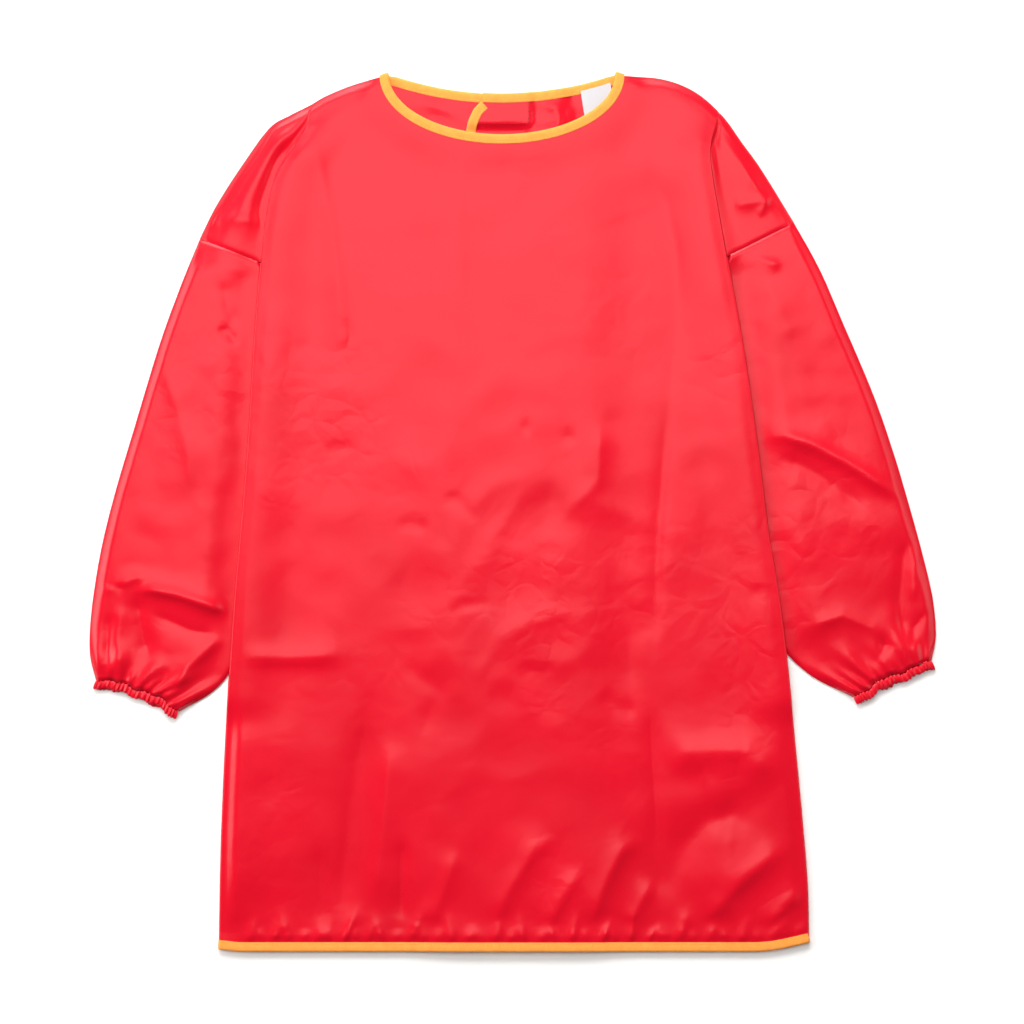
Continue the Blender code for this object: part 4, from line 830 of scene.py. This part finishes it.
# ------------------------------------------------------------------------------------------------
# The cuffs: a narrow casing of the same nylon round flat elastic, which ruches it into fine ribs.
CUFF_WIDTH = 6.4
CUFF_RIBS = 42
for side, name in ((LEFT, "cuff_left"), (RIGHT, "cuff_right")):
    steps = 560
    turn = np.linspace(0, 1, steps + 1)[:, None]
    # Out along the lower layer and back along the upper one, round a small fold at each end
    sweep = 2 * np.pi * turn
    across = 0.5 - 0.5 * np.cos(sweep)
    flat_across = mix(across, 0.5 - np.arcsin(np.cos(sweep) * 0.999) / np.pi, 0.75)
    ring = [value * np.ones_like(turn) for value in sleeve_rings(side, np.ones((1, 1)))]
    spot, away, width = ring_spots(ring, flat_across)
    spot = spot + away * cuff_wander(side, flat_across, turn > 0.5)[..., None]
    ends = np.sqrt(ramp(np.minimum(flat_across, 1 - flat_across) * width, 0, 3.0))
    layer = np.where(turn < 0.5, -1.0, 1.0)
    path_z = 2.05 + layer * CUFF_GAP / 2 * ends
    tangent = np.gradient(np.concatenate([spot, path_z[..., None]], axis=2)[:, 0], axis=0)
    tangent /= np.linalg.norm(tangent, axis=1)[:, None]
    axial = np.concatenate([away[:, 0], np.zeros((steps + 1, 1))], axis=1)
    out = np.cross(tangent, axial)
    rib = 2 * np.pi * CUFF_RIBS * turn + 1.2 * np.sin(2 * np.pi * 5 * turn + side) + 0.6 * np.sin(2 * np.pi * 13 * turn)
    around = np.linspace(0, 2 * np.pi, 17)[None, :]
    lean = 0.5 * np.sin(around)
    ruche = 0.5 + 0.5 * np.sin(rib + lean)
    uneven = 0.8 + 0.35 * np.sin(2 * np.pi * 7 * turn + 2) + 0.2 * np.sin(2 * np.pi * 19 * turn + side)
    thick = 0.5 + 0.75 * ruche * uneven
    long = CUFF_WIDTH / 2 - 0.6 + 0.9 * ruche * uneven
    centre = np.concatenate([spot, path_z[..., None]], axis=2)
    middle = axial[:, None, :] * (0.4 + CUFF_WIDTH / 2)
    rim = axial[:, None, :] * (np.cos(around) * long)[..., None] + out[:, None, :] * (np.sin(around) * thick)[..., None]
    casing = centre + middle + rim
    casing[..., 2] = np.maximum(casing[..., 2], REST)
    piece = sheet_mesh(name + "_casing", [casing], nylon, thickness=0.25)
    dress(piece, "red_coated_nylon", name)

# ------------------------------------------------------------------------------------------------
# The neck binding: one strip of orange bias tape, folded over the raw neckline and topstitched
# along its inner edge. It runs from one back edge round the front to the other back edge.
TAPE_PROFILE = (
    (7.0, 0.40), (6.8, 0.58), (6.3, 0.66), (5.7, 0.56), (5.1, 0.70), (3.6, 0.86), (1.9, 0.92), (0.8, 0.78),
    (0.2, 0.42), (0.0, 0.0), (0.2, -0.42), (0.8, -0.78), (1.9, -0.92), (3.6, -0.86), (5.1, -0.70),
    (5.7, -0.56), (6.3, -0.66), (6.8, -0.58), (7.0, -0.40), (6.9, -0.22), (4.5, -0.22), (1.9, -0.26),
    (1.1, -0.16), (0.9, 0.0), (1.1, 0.16), (1.9, 0.26), (4.5, 0.22), (6.9, 0.22), (7.0, 0.40),
)
STITCH_IN = 5.7  # from the fold to the topstitching
STITCH_LENGTH = 2.3
STITCH_GAP = 0.7
NECK_ROLL_STEPS = 12

# Cotton bias tape, pressed: a matt plain weave that runs at 45 degrees to the strip, a warm
# yellow orange with threads a little lighter and darker. The threads are 0.3 mm apart and are
# drawn 0.8 mm apart so that they show.
bias_tape, shader = new_finish("woven_bias_tape")
run = add_node(bias_tape, "ShaderNodeUVMap", {"uv_map": "strip"}).outputs[0]
turned = add_node(bias_tape, "ShaderNodeMapping", {"Rotation": (0, 0, math.radians(45))}, {"Vector": run})
warp = add_node(bias_tape, "ShaderNodeTexWave", {"bands_direction": "X", "Scale": 200.0, "Distortion": 0.4},
                {"Vector": turned.outputs[0]})
weft = add_node(bias_tape, "ShaderNodeTexWave", {"bands_direction": "Y", "Scale": 200.0, "Distortion": 0.4},
                {"Vector": turned.outputs[0]})
threads = add_node(bias_tape, "ShaderNodeMath", {"operation": "MULTIPLY"}, {0: warp.outputs[1], 1: weft.outputs[1]})
mottle = add_node(bias_tape, "ShaderNodeTexNoise", {"Scale": 220.0, "Detail": 2.0}, {"Vector": run})
tone = add_node(bias_tape, "ShaderNodeMath", {"operation": "MULTIPLY_ADD", 1: 0.35}, {0: threads.outputs[0], 2: mottle.outputs[0]})
oranges = add_node(bias_tape, "ShaderNodeMix", {"data_type": "RGBA"}, {0: tone.outputs[0]})
oranges.inputs[6].default_value = linear("#EA8A30")
oranges.inputs[7].default_value = linear("#F8A248")
bias_tape.node_tree.links.new(oranges.outputs[2], shader.inputs["Base Color"])
shader.inputs["Roughness"].default_value = 0.78
shader.inputs["Specular IOR Level"].default_value = 0.3
shader.inputs["Sheen Weight"].default_value = 0.15
relief = add_node(bias_tape, "ShaderNodeBump", {"Strength": 0.4, "Distance": 0.12 * MM}, {"Height": threads.outputs[0]})
bias_tape.node_tree.links.new(relief.outputs[0], shader.inputs["Normal"])

# Spun polyester sewing thread in the tape's colour: two plies with a soft lustre.
tape_thread, shader = new_finish("orange_polyester_thread")
shader.inputs["Base Color"].default_value = linear("#F9A435")
shader.inputs["Roughness"].default_value = 0.5
shader.inputs["Sheen Weight"].default_value = 0.2
plies = add_node(tape_thread, "ShaderNodeTexWave", {"Scale": 900.0},
                 {"Vector": add_node(tape_thread, "ShaderNodeTexCoord").outputs["Object"]})
relief = add_node(tape_thread, "ShaderNodeBump", {"Strength": 0.3, "Distance": 0.05 * MM}, {"Height": plies.outputs[1]})
tape_thread.node_tree.links.new(relief.outputs[0], shader.inputs["Normal"])


def folded_tape(name, spine, into, finish):
    """Bias tape folded over an edge, along a spine at its fold. Returns it, and its upward way."""
    tangent = np.gradient(spine, axis=0)
    tangent /= np.linalg.norm(tangent, axis=1)[:, None]
    up = np.cross(tangent, into)
    up /= np.linalg.norm(up, axis=1)[:, None]
    profile = np.array(TAPE_PROFILE)
    strip = spine[:, None] + into[:, None] * profile[None, :, :1] + up[:, None] * profile[None, :, 1:]
    along = np.concatenate([[0], np.cumsum(np.linalg.norm(np.diff(spine, axis=0), axis=1))])
    round_it = np.concatenate([[0], np.cumsum(np.linalg.norm(np.diff(profile, axis=0), axis=1))])
    strip_map = np.stack(np.meshgrid(along, round_it, indexing="ij"), axis=2)
    piece = sheet_mesh(name, [strip], finish, thickness=0, strip_map=strip_map)
    bpy.ops.object.mode_set(mode="EDIT")
    bpy.ops.mesh.select_all(action="SELECT")
    bpy.ops.mesh.fill_holes(sides=0)
    bpy.ops.mesh.select_all(action="SELECT")
    bpy.ops.mesh.normals_make_consistent(inside=False)
    bpy.ops.object.mode_set(mode="OBJECT")
    return piece, up, along[-1]


def stitches(name, line, up, finish, length=STITCH_LENGTH, gap=STITCH_GAP, radius=0.24):
    """A row of stitches along a line: short strands that dip into the cloth at both ends."""
    run = np.concatenate([[0], np.cumsum(np.linalg.norm(np.diff(line, axis=0), axis=1))])
    count = max(int((run[-1] + gap) / (length + gap)), 1)
    starts = (run[-1] - count * (length + gap) + gap) / 2 + np.arange(count) * (length + gap)
    along = np.array([0.0, 0.08, 0.3, 0.7, 0.92, 1.0])
    sunk = np.array([-1.0, -0.35, 0.15, 0.15, -0.35, -1.0]) * radius
    wide = np.array([0.25, 0.8, 1.0, 1.0, 0.8, 0.25]) * radius
    at = starts[:, None] + along[None, :] * length
    centre = np.stack([np.interp(at, run, line[:, axis]) for axis in range(3)], axis=2)
    lift = np.stack([np.interp(at, run, up[:, axis]) for axis in range(3)], axis=2)
    way = centre[:, -1:] - centre[:, :1]
    way /= np.linalg.norm(way, axis=2)[..., None]
    across = np.cross(way, lift)
    around = np.linspace(0, 2 * np.pi, 7)
    ring = across[:, :, None] * np.cos(around)[:, None] + lift[:, :, None] * np.sin(around)[:, None]
    strands = (centre + lift * sunk[:, None])[:, :, None] + ring * wide[:, None, None]
    piece = sheet_mesh(name, list(strands), finish, thickness=0)
    bpy.ops.object.mode_set(mode="EDIT")
    bpy.ops.mesh.select_all(action="SELECT")
    bpy.ops.mesh.fill_holes(sides=0)
    bpy.ops.mesh.select_all(action="SELECT")
    bpy.ops.mesh.normals_make_consistent(inside=False)
    bpy.ops.object.mode_set(mode="OBJECT")
    return piece


def topstitch(name, spine, into, up, side_up, start, end):
    """The topstitching of a folded tape, on its upper or lower face, between two of its stations."""
    way = up * side_up
    line = spine + into * STITCH_IN + way * 0.6
    row = stitches(name, line[start:end], way[start:end], tape_thread)
    dress(row, "orange_bias_tape")
    return row


def neck_roll(side):
    """The fold of the binding at a corner of the neckline, from the back up to the front."""
    corner, way = np.array(NECK_CORNER[side]), np.array(SHOULDER_WAY[side])
    beyond = np.array([way[1], -way[0]]) * (1 if side == LEFT else -1)
    top = float(neck_height(corner[0]))
    angle = np.linspace(0, np.pi, NECK_ROLL_STEPS + 1)[1:-1]
    radius = (top - 1.0) / 2
    free = corner + beyond * (0.9 * np.sin(angle))[:, None]
    height = (top + 1.0) / 2 - radius * np.cos(angle)
    return np.column_stack([free, height]), np.tile([*way, 0.0], (len(angle), 1))


def back_run(side, end_x):
    """The binding on one half of the back, from the neck corner to the back edge."""
    free, into = back_neck(side, end_x, 60)
    if side == LEFT:
        height = np.full(len(free), 1.0)
    else:
        height = 0.5 + np.maximum(right_over_left(free[:, 0], np.full(len(free), EDGE_TOP_Y)), 0.5)
    return np.column_stack([free, height]), np.column_stack([into, np.zeros(len(free))])


left_spine, left_into = back_run(LEFT, LEFT_EDGE_X)
right_spine, right_into = back_run(RIGHT, float(right_edge(RIGHT_NECK_Y)))
turns = np.linspace(0, 1, 141)
turns = (turns + np.arccos(1 - 2 * turns) / np.pi) / 2
angle = np.pi * turns
front_into = np.stack([-np.cos(angle) / NECK_HALF_WIDTH, -np.sin(angle) / FRONT_NECK_DEPTH, 0 * angle], axis=1)
front_into /= np.linalg.norm(front_into, axis=1)[:, None]
front_x = NECK_X - NECK_HALF_WIDTH * np.cos(angle)
front_spine = np.stack([front_x, NECK_Y - FRONT_NECK_DEPTH * np.sin(angle), neck_height(front_x)], axis=1)
for end, side in ((0, LEFT), (-1, RIGHT)):
    front_spine[end, :2] = NECK_CORNER[side]
    front_into[end, :2] = SHOULDER_WAY[side]
left_roll, left_roll_into = neck_roll(LEFT)
right_roll, right_roll_into = neck_roll(RIGHT)
spine = np.concatenate([left_spine[::-1], left_roll, front_spine, right_roll[::-1], right_spine])
into = np.concatenate([left_into[::-1], left_roll_into, front_into, right_roll_into[::-1], right_into])
binding, up, length = folded_tape("neck_binding_tape", spine, into, bias_tape)
dress(binding, "orange_bias_tape", "neck_binding")
front_from = len(left_spine) + len(left_roll)
front_to = front_from + len(front_spine)
neck_rows = [
    topstitch("neck_stitches_front", spine, into, up, np.sign(up[front_from + 70, 2]), front_from + 2, front_to - 2),
    topstitch("neck_stitches_left_back", spine, into, up, np.sign(up[10, 2]), 1, len(left_spine) - 6),
    topstitch("neck_stitches_right_back", spine, into, up, np.sign(up[-10, 2]), front_to + len(right_roll) + 6, len(spine) - 1),
]

# ------------------------------------------------------------------------------------------------
# The hem binding: one strip of the same tape along the hem, from the left half of the back round
# both side folds and the front to the right half. Its stitches pucker the nylon above it.
left_x = np.linspace(LEFT_EDGE_X, side_seam(LEFT, HEM_Y), 80)
left_run = np.column_stack([left_x, np.full(80, 1.0)])
folds = []
for side in (LEFT, RIGHT):
    angle = np.linspace(np.pi, 0, 13)
    x = fold_start(side, HEM_Y) + OUTWARD[side] * FOLD_RADIUS * np.sin(angle)
    folds.append(np.column_stack([x, 1.0 + FOLD_RADIUS * (1 + np.cos(angle))]))
front_x = np.linspace(fold_start(LEFT, HEM_EDGE), fold_start(RIGHT, HEM_EDGE), 260)[1:-1]
front_run = np.column_stack([front_x, hem_height(front_x) + hem_pucker(front_x, HEM_EDGE + hem_rise(front_x))])
right_x = np.concatenate([
    np.linspace(side_seam(RIGHT, HEM_Y), 56.0, 50)[:-1],
    np.linspace(56.0, float(right_edge(HEM_Y)), 50),
])
over = right_over_left(right_x, np.full(99, HEM_EDGE))
right_run = np.column_stack([right_x, 0.5 + np.maximum(over, 0.5)])
run = np.concatenate([left_run, folds[LEFT], front_run, folds[RIGHT][::-1], right_run])
spine = np.column_stack([run[:, 0], HEM_Y + hem_rise(run[:, 0]), run[:, 1]])
slope = hem_rise(run[:, 0] + 0.5) - hem_rise(run[:, 0] - 0.5)
into = np.column_stack([-slope, np.ones(len(run)), np.zeros(len(run))]) / np.hypot(1, slope)[:, None]
binding, up, length = folded_tape("hem_binding_tape", spine, into, bias_tape)
dress(binding, "orange_bias_tape", "hem_binding")
front_from = len(left_run) + 13
front_to = front_from + len(front_run)
hem_rows = [
    topstitch("hem_stitches_front", spine, into, up, np.sign(up[front_from + 99, 2]), front_from, front_to),
    topstitch("hem_stitches_left_back", spine, into, up, -np.sign(up[10, 2]), 1, len(left_run)),
    topstitch("hem_stitches_right_back", spine, into, up, -np.sign(up[-10, 2]), front_to + 13, len(spine) - 1),
]

# ------------------------------------------------------------------------------------------------
# The bindings of the back opening: the same tape up both centre edges. The right one shows in the
# neckline, where it lies over the left half.
for side, name in ((LEFT, "back_edge_binding_left"), (RIGHT, "back_edge_binding_right")):
    edge_y = np.linspace(HEM_EDGE + 0.2, EDGE_TOP_Y if side == LEFT else 302.6, 230)
    if side == LEFT:
        edge_x = np.full(230, LEFT_EDGE_X)
        edge_z = np.full(230, 1.0)
    else:
        edge_x = right_edge(edge_y)
        edge_z = back_height(RIGHT, edge_x + 7.3, edge_y)
    spine = np.column_stack([edge_x, edge_y, edge_z])
    tangent = np.gradient(spine, axis=0)[:, :2]
    tangent /= np.linalg.norm(tangent, axis=1)[:, None]
    into = np.column_stack([tangent[:, 1], -tangent[:, 0], np.zeros(230)]) * (-OUTWARD[LEFT] if side == RIGHT else -1)
    binding, up, length = folded_tape(name + "_tape", spine, into, bias_tape)
    dress(binding, "orange_bias_tape", name)
    row = topstitch(name + "_stitches", spine, into, up, np.sign(up[100, 2]), 1, 229)

# ------------------------------------------------------------------------------------------------
# The closure under the neckline: a patch of hooks on the left half and one of loops under the right,
# both red nylon tape, and the red topstitched box that shows on the right half's inside, whose real
# stitches are drawn in a dark thread as painted shade along the edges of the loop patch beneath.
PATCH_CENTRE = (-3.0, 293.8)
PATCH_SIZE = (27.0, 13.0)

# Brushed nylon pile: a matt red felt of fine loops, drawn as a 1 mm fuzz.
pile, shader = new_finish("brushed_nylon_pile")
shader.inputs["Base Color"].default_value = linear("#CC1024")
shader.inputs["Roughness"].default_value = 0.95
shader.inputs["Sheen Weight"].default_value = 0.4
fuzz = add_node(pile, "ShaderNodeTexNoise", {"Scale": 1000.0, "Detail": 2.0},
                {"Vector": add_node(pile, "ShaderNodeTexCoord").outputs["Object"]})
relief = add_node(pile, "ShaderNodeBump", {"Strength": 0.8, "Distance": 0.4 * MM}, {"Height": fuzz.outputs[0]})
pile.node_tree.links.new(relief.outputs[0], shader.inputs["Normal"])

for name, bottom in (("closure_hook_patch", 1.8), ("closure_loop_patch", 3.1)):
    across = np.linspace(-0.5, 0.5, 28)[None, :] * PATCH_SIZE[0]
    along = np.linspace(-0.5, 0.5, 14)[:, None] * PATCH_SIZE[1]
    x = PATCH_CENTRE[0] + across + 0 * along
    y = PATCH_CENTRE[1] + along + 0 * across
    piece = sheet_mesh(name + "_pile", [np.stack([x, y, np.full_like(x, bottom + 0.5)], axis=2)], pile, thickness=0.8)
    dress(piece, "red_hook_and_loop", name)

# Dark red thread: the stitches are real, and their darkness is painted shade for the shadow at the patch's edges.
thread_and_painted_shade, shader = new_finish("red_thread_and_painted_shade")
shader.inputs["Base Color"].default_value = linear("#960818")
shader.inputs["Roughness"].default_value = 0.5
# The rows drawn lie along the right and lower edges of the loop patch, where their dark thread paints the shade.
box = np.array([(-15.5, 303.0), (11.6, 303.0), (11.6, 286.2), (-30.0, 286.2)])
box_rows = []
for index, (start, end) in enumerate(zip(box[:-1], box[1:])):
    line = mix(start, end, np.linspace(0, 1, 30)[:, None])
    if index == 0:
        continue
    height = back_height(RIGHT, line[:, 0], line[:, 1]) + CLOTH / 2
    row = stitches(f"closure_stitches_and_shade_{index}", np.column_stack([line, height]), np.tile([0.0, 0.0, 1.0], (30, 1)),
                   thread_and_painted_shade, length=2.0, gap=0.8, radius=0.25)
    dress(row, "red_coated_nylon")

# ------------------------------------------------------------------------------------------------
# The label: a blank white woven tape, caught in the neck binding's stitches and hanging inside.
LABEL_WIDTH = 22.0
LABEL_LENGTH = 38.0
satin, shader = new_finish("white_satin_label_tape")
shader.inputs["Base Color"].default_value = linear("#BCBBC0")
shader.inputs["Roughness"].default_value = 0.5
shader.inputs["Sheen Weight"].default_value = 0.2
ribs = add_node(satin, "ShaderNodeTexWave", {"Scale": 320.0},
                {"Vector": add_node(satin, "ShaderNodeTexCoord").outputs["Object"]})
relief = add_node(satin, "ShaderNodeBump", {"Strength": 0.2, "Distance": 0.08 * MM}, {"Height": ribs.outputs[1]})
satin.node_tree.links.new(relief.outputs[0], shader.inputs["Normal"])
across = np.linspace(0, 1, 20)[None, :]
down = np.linspace(0, 1, 36)[:, None]
label_top = back_neck_line(50.0 + LABEL_WIDTH * across)[0][..., 1] - 5.0
x = 50.0 + LABEL_WIDTH * across + down * 6.0
y = label_top - LABEL_LENGTH * down
z = 2.2 + 0.5 * np.sin(np.pi * down) + 0.2 * np.sin(5 * across + 3 * down)
label = sheet_mesh("neck_label_tape", [np.stack([x + 0 * y, y, z + 0 * y], axis=2)], satin, thickness=0.3)
dress(label, "white_label_tape", "neck_label")
